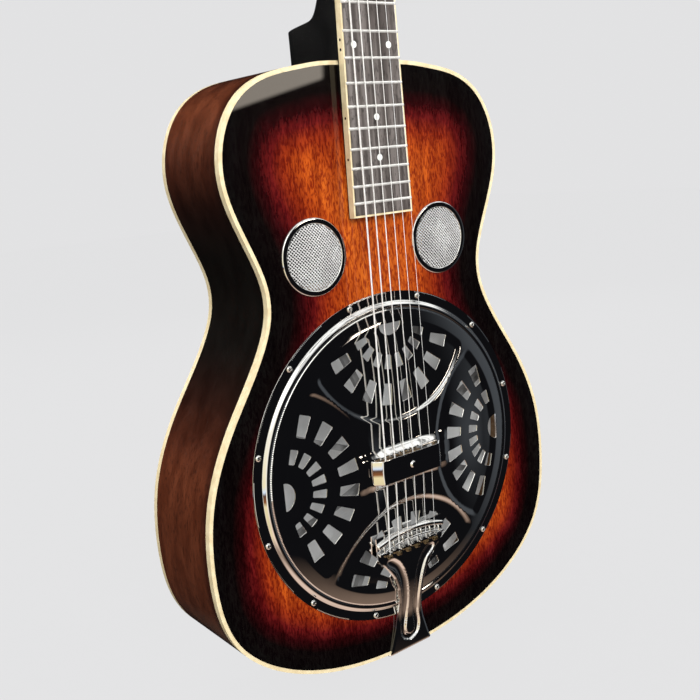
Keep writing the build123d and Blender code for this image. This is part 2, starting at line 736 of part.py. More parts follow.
def board_shape(inset):
    """The fingerboard seen from the front, narrowed by inset on both sides and its end."""
    low = BOARD_END_Z + inset
    a = board_half(low) - inset
    b = board_half(NUT_Z) - inset
    with BuildSketch() as shape:
        with BuildLine():
            Polyline((a, low), (b, NUT_Z), (-b, NUT_Z), (-a, low), close=True)
        make_face()
    return shape.sketch


DOT_R = 2.6
DOTS = [(0, 3), (0, 5), (0, 7), (0, 9), (-17, 12), (17, 12), (0, 15), (0, 17)]
SIDE_DOTS = [(0, 3), (0, 5), (0, 7), (0, 9), (-3.5, 12), (3.5, 12), (0, 15), (0, 17)]


def fret_middle(number):
    return (fret_z(number) + fret_z(number - 1)) / 2


with BuildPart() as fingerboard:
    with BuildSketch(FACE.offset(NECK_H)):
        add(board_shape(BOARD_BINDING))
    extrude(amount=BOARD_H - NECK_H)
    with BuildSketch(FACE.offset(BOARD_H)):
        with Locations(*[(x, fret_middle(n)) for x, n in DOTS]):
            Circle(DOT_R)
    extrude(amount=-1.2, mode=Mode.SUBTRACT)
    with BuildSketch(FACE.offset(BOARD_H)):
        with Locations(*[(0, fret_z(n)) for n in range(1, FRETS + 1)]):
            Rectangle(80, 0.5)
    extrude(amount=-1.8, mode=Mode.SUBTRACT)
save(fingerboard, "fingerboard")

with BuildPart() as fingerboard_binding:
    with BuildSketch(FACE.offset(NECK_H)):
        add(board_shape(0))
    extrude(amount=BOARD_H - NECK_H)
    with BuildSketch(FACE.offset(NECK_H)):
        add(board_shape(BOARD_BINDING))
        with Locations((0, NUT_Z)):
            Rectangle(NUT_WIDE - 2 * BOARD_BINDING, 4)
    extrude(amount=BOARD_H - NECK_H, mode=Mode.SUBTRACT)
    for x, n in SIDE_DOTS:
        z = fret_middle(n) + x
        with Locations(Location((-board_half(z), TOP_Y - 6.2, z), (0, 90, 0))):
            Cylinder(1.1, 1.6, mode=Mode.SUBTRACT)
save(fingerboard_binding, "fingerboard_binding")

with BuildPart() as position_dots:
    with BuildSketch(FACE.offset(BOARD_H)):
        with Locations(*[(x, fret_middle(n)) for x, n in DOTS]):
            Circle(DOT_R)
    extrude(amount=-1.2)
    for x, n in SIDE_DOTS:
        z = fret_middle(n) + x
        with Locations(Location((-board_half(z) + 0.4, TOP_Y - 6.2, z), (0, 90, 0))):
            Cylinder(1.1, 0.8)
save(position_dots, "position_dots")

with BuildPart() as frets:
    for n in range(1, FRETS + 1):
        z = fret_z(n)
        half = board_half(z) - 0.4
        with BuildSketch(Plane.YZ.offset(-half)):
            with BuildLine():
                y = TOP_Y - BOARD_H
                Line((y, z + FRET_WIDE / 2), (y, z - FRET_WIDE / 2))
                ThreePointArc((y, z - FRET_WIDE / 2), (y - FRET_TALL, z), (y, z + FRET_WIDE / 2))
            make_face()
        extrude(amount=2 * half)
        with Locations((0, TOP_Y - BOARD_H + 0.85, z)):
            Box(2 * half - 2 * BOARD_BINDING, 1.7, 0.46)
save(frets, "frets")

NUT_TOP = 12.0
with BuildPart() as nut:
    with BuildSketch(Plane.YZ.offset(-NUT_WIDE / 2)):
        with BuildLine():
            Polyline((NECK_Y, NUT_Z), (TOP_Y - NUT_TOP, NUT_Z), (TOP_Y - NUT_TOP, NUT_Z + 2.5),
                     (TOP_Y - NUT_TOP + 1.4, NUT_Z + NUT_THICK), (NECK_Y, NUT_Z + NUT_THICK), close=True)
        make_face()
    extrude(amount=NUT_WIDE)
    for i, r in enumerate(STRING_R):
        floor = TOP_Y - NUT_H + r
        wide = 2 * r + 0.5
        with BuildSketch(Plane.YZ.offset(string_x(i, 1) - wide / 2)):
            with BuildLine():
                Polyline(
                    (floor, NUT_Z - 1), (floor, NUT_Z + 1), (floor + 3.2, NUT_Z + 7),
                    (floor - 5, NUT_Z + 7), (floor - 5, NUT_Z - 1), close=True)
            make_face()
        extrude(amount=wide, mode=Mode.SUBTRACT)
save(nut, "nut")

# ---------------------------------------------------------------------------
# Tuning machines: three on a plate, each side of the slotted headstock
# ---------------------------------------------------------------------------
PLATE_X = HEAD_HALF
WORM_X = GEAR_X + GEAR_THICK / 2
ACROSS = (0, 90, 0)
SQUARE = (90 - HEAD_TILT, 0, 0)


def head_place(x, u, n, turn=ACROSS):
    return Location(head_point(x, u, n), turn)


def flank(side, x):
    """Plane on a side of the headstock: local X runs along it, local Y is side times n."""
    return Plane(origin=head_point(side * x, 0, 0), x_dir=(0, TILT_S, TILT_C), z_dir=(side, 0, 0))


PLATE_SCREWS = (34, 64.5, 99.5, 135)
with BuildPart() as tuner_plates:
    for side in (-1, 1):
        with BuildSketch(flank(side, PLATE_X)):
            with Locations((85, -6.5 * side)):
                RectangleRounded(108, 14, 3)
            with Locations(*[(u, POST_N * side) for u in POST_U]):
                Circle(POST_R + 0.1, mode=Mode.SUBTRACT)
            with Locations(*[(u, -6.5 * side) for u in PLATE_SCREWS]):
                Circle(1.0, mode=Mode.SUBTRACT)
        extrude(amount=PLATE_THICK)
        for u in POST_U:
            for n in (-0.3, -13.2):
                spot = head_point(side * (PLATE_X + PLATE_THICK + 3.1), u + WORM_GAP, n)
                with Locations(Location(spot, SQUARE)):
                    Box(6.6, 6.6, 1.4)
    for side in (-1, 1):
        for u in POST_U:
            with Locations(head_place(side * WORM_X, u + WORM_GAP, -7, SQUARE)):
                Cylinder(WORM_R + 0.08, 20, mode=Mode.SUBTRACT)
save(tuner_plates, "tuner_plates")

with BuildPart() as tuner_plate_screws:
    for side in (-1, 1):
        with BuildSketch(flank(side, PLATE_X + PLATE_THICK)):
            with Locations(*[(u, -6.5 * side) for u in PLATE_SCREWS]):
                Circle(1.9)
        extrude(amount=1.0, taper=25)
        with BuildSketch(flank(side, PLATE_X + PLATE_THICK)):
            with Locations(*[(u, -6.5 * side) for u in PLATE_SCREWS]):
                Circle(0.95)
        extrude(amount=-PLATE_THICK)
save(tuner_plate_screws, "tuner_plate_screws")

# Strings are numbered 0 to 5 from the bass side.  Bass strings wind on the
# left posts from the nut up; treble strings on the right posts.
POST_OF = ((-1, 0), (-1, 1), (-1, 2), (1, 2), (1, 1), (1, 0))
WIND_X = (19.0, 16.0, 13.0, 13.0, 16.0, 19.0)
NAMES = ("bass_e", "a", "d", "g", "b", "treble_e")
COIL_TURNS = 3
JOIN_GAP = 0.02

for i, r in enumerate(STRING_R):
    side, rank = POST_OF[i]
    u = POST_U[rank]
    with BuildPart() as post:
        inner = 3.6
        outer = GEAR_X
        with Locations(head_place(side * (inner + outer) / 2, u, POST_N)):
            Cylinder(POST_R, outer - inner)
        with Locations(head_place(side * (outer + GEAR_THICK / 2), u, POST_N)):
            Cylinder(2.0, GEAR_THICK)
        coil = Plane(origin=head_point(side * WIND_X[i] - r * COIL_TURNS, u, POST_N),
                     x_dir=(0, TILT_S, TILT_C), z_dir=(1, 0, 0))
        with BuildSketch(coil):
            Circle(POST_R + 2 * r)
            Circle(POST_R + JOIN_GAP, mode=Mode.SUBTRACT)
        extrude(amount=2 * r * COIL_TURNS)
    save(post, "post_" + NAMES[i])

    with BuildPart() as gear:
        blank = Plane(origin=head_point(side * GEAR_X, u, POST_N), x_dir=(0, TILT_S, TILT_C),
                      z_dir=(side, 0, 0))
        with BuildSketch(blank):
            Circle(GEAR_ROOT)
            with PolarLocations(0, TEETH, start_angle=180 / TEETH):
                with BuildLine():
                    Polyline((GEAR_ROOT - 0.3, -0.75), (GEAR_TIP, -0.35), (GEAR_TIP, 0.35),
                             (GEAR_ROOT - 0.3, 0.75), close=True)
                make_face()
            Circle(2.0, mode=Mode.SUBTRACT)
        extrude(amount=GEAR_THICK)
        with BuildSketch(blank.offset(GEAR_THICK + JOIN_GAP)):
            Circle(2.8)
        extrude(amount=1.2, taper=20)
    save(gear, "gear_" + NAMES[i])

    with BuildPart() as knob:
        spot = (side * WORM_X, u + WORM_GAP)
        with Locations(head_place(*spot, -8.6, SQUARE)):
            Cylinder(WORM_R, 20.0)
        with Locations(head_place(*spot, -1.65, SQUARE), head_place(*spot, -11.85, SQUARE)):
            Cylinder(2.4, 1.0)
        with Locations(head_place(*spot, -18.0, SQUARE)):
            Cylinder(2.2, 1.5)
        button = Plane(origin=head_point(*spot, -18.75 - JOIN_GAP), x_dir=(1, 0, 0),
                       z_dir=(0, TILT_C, -TILT_S))
        with BuildSketch(button):
            Ellipse(2.8, 3.6)
        with BuildSketch(button.offset(7)):
            Ellipse(4.2, 8.0)
        with BuildSketch(button.offset(15)):
            Ellipse(2.6, 6.6)
        loft()
    save(knob, "knob_" + NAMES[i])

# ---------------------------------------------------------------------------
# Strings and their ball ends
# ---------------------------------------------------------------------------
def string_path(i, r):
    """Tail lip, saddle, nut and the top of the winding post."""
    side, rank = POST_OF[i]
    lip_part = -75 / SCALE
    end = head_point(side * WIND_X[i], POST_U[rank] - 0.6, POST_N + POST_R + 3 * r + 0.12)
    return [
        (string_x(i, lip_part), TOP_Y - LIP_STRING_H, LIP_Z - LIP_THICK),
        (string_x(i, 0), TOP_Y - SADDLE_H, SADDLE_Z),
        (string_x(i, 1), TOP_Y - NUT_H, NUT_Z + 1),
        end,
    ]


for i, r in enumerate(STRING_R):
    with BuildPart() as string:
        with BuildLine():
            Polyline(*string_path(i, r))
        start = Vector(*string_path(i, r)[0])
        ahead = Vector(*string_path(i, r)[1]) - start
        with BuildSketch(Plane(origin=start, z_dir=ahead)):
            Circle(r)
        sweep(transition=Transition.ROUND)
    save(string, "string_" + NAMES[i])

with BuildPart() as ball_ends:
    for i, r in enumerate(STRING_R):
        x = string_x(i, -75 / SCALE)
        with Locations(Location((x, TOP_Y - LIP_STRING_H, LIP_Z - LIP_THICK - 2.0), ACROSS)):
            Cylinder(2.0, 3.4)
            Cylinder(0.8, 3.4, mode=Mode.SUBTRACT)
save(ball_ends, "ball_ends")
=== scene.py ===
import json
from math import ceil, cos, hypot, pi, radians, sin, sqrt, tau

import bpy
import numpy as np
from mathutils import Matrix, Vector
from mathutils.geometry import delaunay_2d_cdt
from mathutils.kdtree import KDTree


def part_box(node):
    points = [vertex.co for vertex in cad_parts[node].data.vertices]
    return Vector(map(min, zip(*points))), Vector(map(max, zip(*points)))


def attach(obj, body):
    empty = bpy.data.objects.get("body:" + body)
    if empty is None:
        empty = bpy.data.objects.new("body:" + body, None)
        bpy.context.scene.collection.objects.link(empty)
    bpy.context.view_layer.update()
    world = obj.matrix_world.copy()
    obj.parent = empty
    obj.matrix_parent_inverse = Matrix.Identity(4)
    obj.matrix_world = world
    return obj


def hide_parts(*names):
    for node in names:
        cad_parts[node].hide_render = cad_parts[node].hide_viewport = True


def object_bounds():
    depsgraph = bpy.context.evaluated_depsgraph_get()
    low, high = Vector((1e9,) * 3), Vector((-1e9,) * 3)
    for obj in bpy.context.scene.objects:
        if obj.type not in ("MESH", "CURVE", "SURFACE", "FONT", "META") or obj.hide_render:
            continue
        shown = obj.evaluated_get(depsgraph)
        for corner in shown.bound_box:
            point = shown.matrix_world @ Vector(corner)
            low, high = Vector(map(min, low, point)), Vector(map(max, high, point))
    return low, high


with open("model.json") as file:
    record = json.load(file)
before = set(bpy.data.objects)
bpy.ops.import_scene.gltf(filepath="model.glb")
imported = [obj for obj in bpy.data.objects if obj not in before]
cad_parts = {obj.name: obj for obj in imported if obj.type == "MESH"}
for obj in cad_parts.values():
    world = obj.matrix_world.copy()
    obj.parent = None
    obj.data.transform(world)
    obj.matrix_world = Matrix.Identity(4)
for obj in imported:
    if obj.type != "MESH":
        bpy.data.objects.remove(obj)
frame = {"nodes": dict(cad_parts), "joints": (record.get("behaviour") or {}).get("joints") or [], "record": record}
CAD_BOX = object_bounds()

# ---------------------------------------------------------------------------
# Places, read from the frame.  Pieces are drawn in millimetres: across the
# guitar from its middle line, up from the saddle, and out of the soundboard.
# ---------------------------------------------------------------------------
MM = 0.001
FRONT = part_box("top")[0].y
PLATE_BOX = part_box("coverplate")
SADDLE = (PLATE_BOX[0].z + PLATE_BOX[1].z) / 2
COVER_R = (PLATE_BOX[1].x - PLATE_BOX[0].x) / 2 / MM
RING_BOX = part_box("soundhole_rings")
RING_R = (RING_BOX[1].z - RING_BOX[0].z) / 2 / MM
HOLE_X = RING_BOX[1].x / MM - RING_R
HOLE_Z = ((RING_BOX[0].z + RING_BOX[1].z) / 2 - SADDLE) / MM
SIDE_DOT_TOP = 7.6
SCALE = 645.0


# ---------------------------------------------------------------------------
# Camera, world, lights and floor
# ---------------------------------------------------------------------------
CAMERA_PLACE = (-0.4637, -0.6195, 0.4363)
CAMERA_YAW = -37.147
CAMERA_PITCH = -13.632
CAMERA_ROLL = 4.870
CAMERA_LENS = 46.8
CAMERA_SHIFT = (-0.016, 0.0404)


def aim_camera():
    camera = bpy.data.objects.new("camera", bpy.data.cameras.new("camera"))
    bpy.context.scene.collection.objects.link(camera)
    camera.data.lens = CAMERA_LENS
    camera.data.shift_x, camera.data.shift_y = CAMERA_SHIFT
    camera.data.clip_start = 0.01
    camera.location = CAMERA_PLACE
    yaw = Matrix.Rotation(radians(CAMERA_YAW), 4, "Z")
    pitch = Matrix.Rotation(radians(CAMERA_PITCH), 4, "X")
    roll = Matrix.Rotation(radians(CAMERA_ROLL), 4, "Y")
    upright = Matrix.Rotation(radians(90), 4, "X")
    camera.rotation_euler = (yaw @ pitch @ roll @ upright).to_euler()
    bpy.context.scene.camera = camera


class Tree:
    """Short calls for wiring shader nodes."""

    def __init__(self, tree):
        self.tree = tree

    def add(self, kind, settings=None, **inputs):
        node = self.tree.nodes.new(kind)
        for key, value in (settings or {}).items():
            setattr(node, key, value)
        for key, value in inputs.items():
            key = key.replace("_", " ")
            name = int(key[1:]) if key[0] == "i" and key[1:].isdigit() else key
            self.plug(node.inputs[name], value)
        return node

    def plug(self, socket, value):
        if isinstance(value, bpy.types.NodeSocket):
            self.tree.links.new(value, socket)
        else:
            socket.default_value = value

    def math(self, operation, first, second=0.0, third=0.0):
        node = self.add("ShaderNodeMath", {"operation": operation}, i0=first, i1=second, i2=third)
        return node.outputs[0]

    def product(self, first, *others):
        for other in others:
            first = self.math("MULTIPLY", first, other)
        return first

    def step(self, value, low, high):
        """0 at low, 1 at high, smooth between."""
        node = self.add("ShaderNodeMapRange", {"interpolation_type": "SMOOTHSTEP"},
                        i0=value, i1=low, i2=high)
        return node.outputs[0]

    def range(self, value, low, high):
        """A 0..1 value spread over low..high."""
        return self.add("ShaderNodeMapRange", i0=value, i3=low, i4=high).outputs[0]

    def mix(self, factor, first, second, how="MIX"):
        node = self.add("ShaderNodeMix", {"data_type": "RGBA", "blend_type": how},
                        i0=factor, i6=first, i7=second)
        return node.outputs[2]

    def tint(self, base, factor, first, second):
        """base times a colour between first and second."""
        return self.mix(1.0, base, self.mix(factor, first, second), "MULTIPLY")

    def ramp(self, factor, *stops):
        node = self.add("ShaderNodeValToRGB", i0=factor)
        points = node.color_ramp.elements
        while len(points) < len(stops):
            points.new(1.0)
        for point, (place, colour) in zip(points, stops):
            point.position = place
            point.color = colour
        return node.outputs[0]

    def place(self, stretch=(1, 1, 1), offset=(0, 0, 0)):
        """The point's own place in metres, stretched for a texture."""
        spot = self.add("ShaderNodeTexCoord").outputs["Object"]
        node = self.add("ShaderNodeMapping", i0=spot, i1=offset, i3=stretch)
        return node.outputs[0]

    def noise(self, vector, scale, detail=4.0, rough=0.55):
        node = self.add("ShaderNodeTexNoise", Vector=vector, Scale=scale, Detail=detail,
                        Roughness=rough)
        return node.outputs[0]

    def axes(self, vector):
        return self.add("ShaderNodeSeparateXYZ", i0=vector).outputs


def rgb(red, green, blue):
    return (red, green, blue, 1.0)


def grey(tone):
    return rgb(tone, tone, tone)


PALE = rgb(0.762, 0.762, 0.770)
BLACK = rgb(0, 0, 0)


def light_world():
    """Pale for the eye, soft grey for diffuse light, and a dim room for whatever is polished."""
    world = bpy.data.worlds.new("studio")
    bpy.context.scene.world = world
    world.use_nodes = True
    tree = Tree(world.node_tree)
    world.node_tree.nodes.clear()
    heading = tree.add("ShaderNodeTexCoord").outputs["Generated"]
    x, y, z = tree.axes(heading)[:3]
    front = tree.step(y, 0.5, -0.1)

    # A blotched ceiling light above.
    blotch = tree.range(tree.step(tree.noise(heading, 5.0, 2.0), 0.42, 0.55), 0.3, 1.0)
    ceiling = tree.product(tree.step(z, 0.26, 0.44), front, blotch)

    # A small bright pane with a slanting sill, low on the right.
    sill = tree.math("MULTIPLY_ADD", x, 0.30, -0.098)
    pane = tree.product(tree.step(tree.math("SUBTRACT", z, sill), 0.0, 0.006), tree.step(z, 0.15, 0.13),
                        tree.step(x, 0.594, 0.588), tree.step(x, 0.46, 0.50), front)

    # A wide window on the left, whose outer part shows brown and blue bands.
    window = tree.product(tree.step(x, -0.25, -0.50), tree.step(z, -0.80, -0.62), front)
    bands = tree.ramp(tree.math("ADD", z, 0.55), (0.0, rgb(0.80, 0.68, 0.40)),
                      (0.16, rgb(0.90, 0.76, 0.44)), (0.20, rgb(0.28, 0.10, 0.03)),
                      (0.26, rgb(0.10, 0.05, 0.03)), (0.29, rgb(0.75, 0.85, 1.0)),
                      (0.34, rgb(0.95, 0.84, 0.55)), (1.0, rgb(1.0, 0.97, 0.90)))
    glow = tree.mix(tree.step(z, -0.55, -0.30), rgb(0.86, 0.66, 0.52), rgb(1.0, 0.95, 0.84))
    view = tree.mix(tree.step(x, -0.64, -0.70), glow, bands)

    # A warm floor below and a grey wall on the far right.
    ground = tree.ramp(tree.math("MULTIPLY", z, -1.0), (0.56, BLACK), (0.66, rgb(0.080, 0.053, 0.038)),
                       (0.76, rgb(0.22, 0.150, 0.110)), (0.90, rgb(0.76, 0.56, 0.45)))
    wall = tree.step(x, 0.70, 0.95)

    room = tree.mix(1.0, rgb(0.005, 0.005, 0.006), ground, "ADD")
    for mask, colour in ((wall, rgb(0.060, 0.066, 0.073)), (window, view),
                         (ceiling, rgb(1.15, 1.15, 1.12)), (pane, rgb(5.2, 4.6, 3.9))):
        room = tree.mix(1.0, room, tree.mix(mask, BLACK, colour), "ADD")
    ray = tree.add("ShaderNodeLightPath").outputs
    shown = tree.mix(ray["Is Diffuse Ray"], room, rgb(0.42, 0.42, 0.43))
    shown = tree.mix(ray["Is Camera Ray"], shown, PALE)
    back = tree.add("ShaderNodeBackground", Color=shown)
    out = tree.add("ShaderNodeOutputWorld")
    tree.plug(out.inputs["Surface"], back.outputs[0])


# Name, place, width and power of each lamp; all of them point at the middle of the body.
LIGHTS = (
    ("key", (-0.7, -1.9, 1.3), 1.1, 52.0),
    ("fill", (1.5, -1.5, 0.7), 1.3, 24.0),
    ("above", (-0.3, 0.0, 2.1), 0.8, 26.0),
    ("side", (-1.9, 0.5, 0.7), 0.9, 3.0),
    ("rear_left", (-0.8, 1.8, 1.1), 1.0, 26.0),
    ("rear_right", (1.3, 1.4, 0.9), 1.0, 22.0),
)


def hang_lights():
    middle = Vector((0, 0, 0.35))
    for name, place, size, power in LIGHTS:
        lamp = bpy.data.lights.new(name, "AREA")
        lamp.shape = "DISK"
        lamp.size = size
        lamp.energy = power
        holder = bpy.data.objects.new(name, lamp)
        bpy.context.scene.collection.objects.link(holder)
        holder.location = place
        holder.rotation_euler = (middle - holder.location).to_track_quat("-Z", "Y").to_euler()
        holder.visible_glossy = False


FLOOR_HALF = 6.0
FLOOR_GAP = 0.002


def lay_floor():
    mesh = bpy.data.meshes.new("floor")
    low = CAD_BOX[0][2] - FLOOR_GAP
    half = FLOOR_HALF
    mesh.from_pydata([(-half, -half, low), (half, -half, low), (half, half, low), (-half, half, low)],
                     [], [(0, 1, 2, 3)])
    floor = bpy.data.objects.new("floor", mesh)
    bpy.context.scene.collection.objects.link(floor)
    paint, tree, shader = material("pale_floor", Roughness=0.9, Specular_IOR_Level=0.0,
                                   Emission_Color=PALE, Emission_Strength=0.985)
    grit = tree.noise(tree.place(), 60.0)
    tree.plug(shader.inputs["Base Color"], tree.mix(grit, grey(0.010), grey(0.014)))
    mesh.materials.append(paint)
    floor.visible_glossy = False
    floor.visible_diffuse = False


# ---------------------------------------------------------------------------
# Materials.  Each function builds one finish of the record.
# ---------------------------------------------------------------------------
def material(name, **sockets):
    paint = bpy.data.materials.new(name)
    paint.use_nodes = True
    tree = Tree(paint.node_tree)
    shader = paint.node_tree.nodes["Principled BSDF"]
    for key, value in sockets.items():
        shader.inputs[key.replace("_", " ")].default_value = value
    return paint, tree, shader


def raise_bumps(tree, shader, height, distance):
    node = tree.add("ShaderNodeBump", Height=height, Distance=distance, Strength=1.0)
    tree.plug(shader.inputs["Normal"], node.outputs[0])


def wood_grain(tree, along=2):
    """Fine pores, soft figure and faint bands that run along one axis, 0..1 each."""
    stretch = [1.0, 1.0, 1.0]
    stretch[along] = 0.26
    pores = tree.add("ShaderNodeTexNoise", Vector=tree.place(tuple(stretch)), Scale=620.0, Detail=2.0,
                     Roughness=0.6, Distortion=0.7).outputs[0]
    figure = tree.noise(tree.place(tuple(stretch)), 75.0, 4.0, 0.55)
    stretch[along] = 0.03
    bands = tree.noise(tree.place(tuple(stretch)), 160.0, 3.0, 0.5)
    return pores, figure, bands


def sunburst():
    """Lacquered wood, amber inside and black at the edge, from the distance stored in the mesh."""
    paint, tree, shader = material("sunburst_top", Roughness=0.32, Coat_Weight=1.0,
                                   Coat_Roughness=0.01, Specular_IOR_Level=0.06)
    pores, figure, bands = wood_grain(tree)
    edge = tree.add("ShaderNodeAttribute", {"attribute_name": "edge"}).outputs["Fac"]
    z = tree.axes(tree.place())[2]
    tight = tree.range(tree.step(z, 0.31, 0.19), 11.6, 14.2)
    wander = tree.math("MULTIPLY_ADD", figure, 0.006, tree.math("SUBTRACT", edge, 0.003))
    shade = tree.math("MULTIPLY", wander, tight)
    burst = tree.ramp(shade, (0.0, rgb(0.0025, 0.002, 0.002)), (0.22, rgb(0.003, 0.0015, 0.0015)),
                      (0.35, rgb(0.020, 0.0010, 0.0016)), (0.46, rgb(0.085, 0.004, 0.004)),
                      (0.60, rgb(0.19, 0.016, 0.003)), (0.78, rgb(0.31, 0.042, 0.004)),
                      (1.0, rgb(0.39, 0.068, 0.007)))
    wood = tree.tint(burst, tree.step(bands, 0.35, 0.65), rgb(0.86, 0.80, 0.8), rgb(1.08, 1.10, 1.1))
    wood = tree.tint(wood, tree.step(figure, 0.35, 0.65), rgb(0.80, 0.70, 0.7), rgb(1.15, 1.25, 1.2))
    wood = tree.tint(wood, tree.step(pores, 0.40, 0.62), rgb(1.18, 1.35, 1.3), rgb(0.52, 0.30, 0.45))
    tree.plug(shader.inputs["Base Color"], wood)
    tree.plug(shader.inputs["Roughness"], tree.range(figure, 0.26, 0.42))
    raise_bumps(tree, shader, pores, 0.00003)
    return paint


WAIST_Z = 0.335


def mahogany():
    """Stained wood that is shaded nearly black round the waist and toward the front edge."""
    paint, tree, shader = material("mahogany", Roughness=0.35, Coat_Weight=1.0, Coat_Roughness=0.05)
    pores, figure, bands = wood_grain(tree)
    y, z = tree.axes(tree.place())[1:3]
    waist = tree.math("ABSOLUTE", tree.math("SUBTRACT", z, WAIST_Z))
    shade = tree.range(tree.step(y, FRONT, FRONT + 0.018), 0.5, 1.0)
    light = tree.product(tree.step(waist, 0.03, 0.14), shade)
    tone = tree.ramp(tree.math("MULTIPLY", light, tree.range(bands, 0.85, 1.12)),
                     (0.0, rgb(0.003, 0.0025, 0.002)), (0.35, rgb(0.016, 0.004, 0.002)),
                     (0.75, rgb(0.052, 0.012, 0.005)), (1.0, rgb(0.10, 0.024, 0.009)))
    wood = tree.tint(tone, tree.step(figure, 0.3, 0.7), rgb(0.72, 0.66, 0.6), rgb(1.25, 1.3, 1.3))
    wood = tree.mix(tree.product(tree.step(pores, 0.5, 0.66), 0.55), wood, rgb(0.008, 0.002, 0.001))
    tree.plug(shader.inputs["Base Color"], wood)
    tree.plug(shader.inputs["Roughness"], tree.range(figure, 0.28, 0.5))
    raise_bumps(tree, shader, pores, 0.00003)
    return paint


def plain_wood(name, light, dark, along=2, gloss=0.55):
    """Bare or lightly finished wood: two tones along the grain, and pores."""
    paint, tree, shader = material(name, Roughness=gloss)
    pores, figure, bands = wood_grain(tree, along)
    wood = tree.mix(tree.step(bands, 0.3, 0.7), dark, light)
    wood = tree.tint(wood, figure, grey(0.8), grey(1.15))
    wood = tree.mix(tree.product(tree.step(pores, 0.56, 0.68), 0.5), wood, dark)
    tree.plug(shader.inputs["Base Color"], wood)
    tree.plug(shader.inputs["Roughness"], tree.range(figure, gloss - 0.1, gloss + 0.15))
    raise_bumps(tree, shader, pores, 0.00008)
    return paint


def rosewood():
    """Open-pored dark wood with grey-brown streaks, unlacquered."""
    paint, tree, shader = material("rosewood", Roughness=0.42)
    pores, figure, bands = wood_grain(tree)
    tone = tree.ramp(bands, (0.3, rgb(0.030, 0.024, 0.022)), (0.48, rgb(0.075, 0.062, 0.056)),
                     (0.62, rgb(0.15, 0.13, 0.12)), (0.8, rgb(0.21, 0.19, 0.18)))
    tone = tree.mix(tree.product(tree.step(pores, 0.54, 0.64), 0.7), tone, rgb(0.016, 0.012, 0.011))
    tree.plug(shader.inputs["Base Color"], tone)
    tree.plug(shader.inputs["Roughness"], tree.range(figure, 0.32, 0.55))
    raise_bumps(tree, shader, pores, 0.0001)
    return paint


def plastic(name, light, dark, gloss=0.3, scale=90.0, coat=0.3):
    """Moulded or polished: clouded colour with faint rub marks."""
    paint, tree, shader = material(name, Coat_Weight=coat, Coat_Roughness=0.08)
    cloud = tree.noise(tree.place(), scale, 5.0)
    rubbed = tree.noise(tree.place((1, 1, 0.15)), 900.0, 2.0)
    tree.plug(shader.inputs["Base Color"], tree.mix(tree.step(cloud, 0.3, 0.7), dark, light))
    tree.plug(shader.inputs["Roughness"], tree.range(rubbed, gloss - 0.08, gloss + 0.12))
    raise_bumps(tree, shader, rubbed, 0.000012)
    return paint


def metal(name, light, dark, gloss=0.08, metallic=1.0, rub=1400.0, depth=0.000003, stretch=(1, 1, 1)):
    """Bright metal with handling haze and hairlines."""
    paint, tree, shader = material(name, Metallic=metallic)
    haze = tree.noise(tree.place(), 45.0, 5.0)
    lines = tree.noise(tree.place(stretch), rub, 2.0)
    tree.plug(shader.inputs["Base Color"], tree.mix(tree.step(haze, 0.25, 0.75), dark, light))
    rough = tree.math("MULTIPLY_ADD", tree.step(haze, 0.45, 0.8), gloss * 0.8, gloss * 0.7)
    tree.plug(shader.inputs["Roughness"], tree.math("MULTIPLY_ADD", lines, gloss * 0.4, rough))
    raise_bumps(tree, shader, lines, depth)
    return paint


def pearl():
    """Shell for the dots on the face, black for the small ones in the edge of the fingerboard."""
    paint = plastic("pearl", rgb(0.93, 0.92, 0.86), rgb(0.74, 0.78, 0.74), 0.18, 420.0, 0.8)
    tree = Tree(paint.node_tree)
    shader = paint.node_tree.nodes["Principled BSDF"]
    y = tree.axes(tree.place())[1]
    shell = shader.inputs["Base Color"].links[0].from_socket
    lift = tree.step(y, FRONT - SIDE_DOT_TOP * MM, FRONT - (SIDE_DOT_TOP - 0.2) * MM)
    tree.plug(shader.inputs["Base Color"], tree.mix(lift, shell, grey(0.006)))
    return paint


CONE_RINGS = 5200.0


def spun_metal_with_painted_glow():
    """The cone: pale rings from the lathe about the middle of the coverplate, and a faint painted glow (emission)
    in place of the light that reaches it through the slots.
    """
    # Emission_Strength is painted light: the cone glows to stand in for light coming in through the slots.
    paint, tree, shader = material("spun_aluminium", Metallic=0.25, Roughness=0.38, Emission_Strength=0.16)
    spot = tree.place((1, 0, 1), (0, 0, -SADDLE))
    reach = tree.add("ShaderNodeVectorMath", {"operation": "LENGTH"}, i0=spot).outputs["Value"]
    rings = tree.math("SINE", tree.math("MULTIPLY", reach, CONE_RINGS))
    haze = tree.noise(tree.place(), 70.0, 5.0)
    tone = tree.mix(tree.range(rings, 0.3, 0.7), rgb(0.60, 0.61, 0.60), rgb(0.86, 0.87, 0.86))
    tree.plug(shader.inputs["Base Color"], tree.tint(tone, haze, grey(0.75), grey(1.1)))
    tree.plug(shader.inputs["Roughness"], tree.range(haze, 0.28, 0.5))
    # Colour of the painted glow, blotched with the haze.
    tree.plug(shader.inputs["Emission Color"], tree.mix(haze, grey(0.55), grey(0.9)))
    raise_bumps(tree, shader, rings, 0.00003)
    return paint


WRAP_PITCH = 0.00042


def wound_string():
    """A wrap wire: ridges along the string."""
    paint, tree, shader = material("wound_string", Metallic=0.3)
    z = tree.axes(tree.place())[2]
    wrap = tree.math("SINE", tree.math("MULTIPLY", z, tau / WRAP_PITCH))
    tarnish = tree.noise(tree.place(), 130.0, 3.0)
    tree.plug(shader.inputs["Base Color"],
              tree.mix(tarnish, rgb(0.80, 0.78, 0.74), rgb(0.97, 0.96, 0.93)))
    tree.plug(shader.inputs["Roughness"], tree.range(tarnish, 0.22, 0.4))
    raise_bumps(tree, shader, wrap, 0.00006)
    return paint


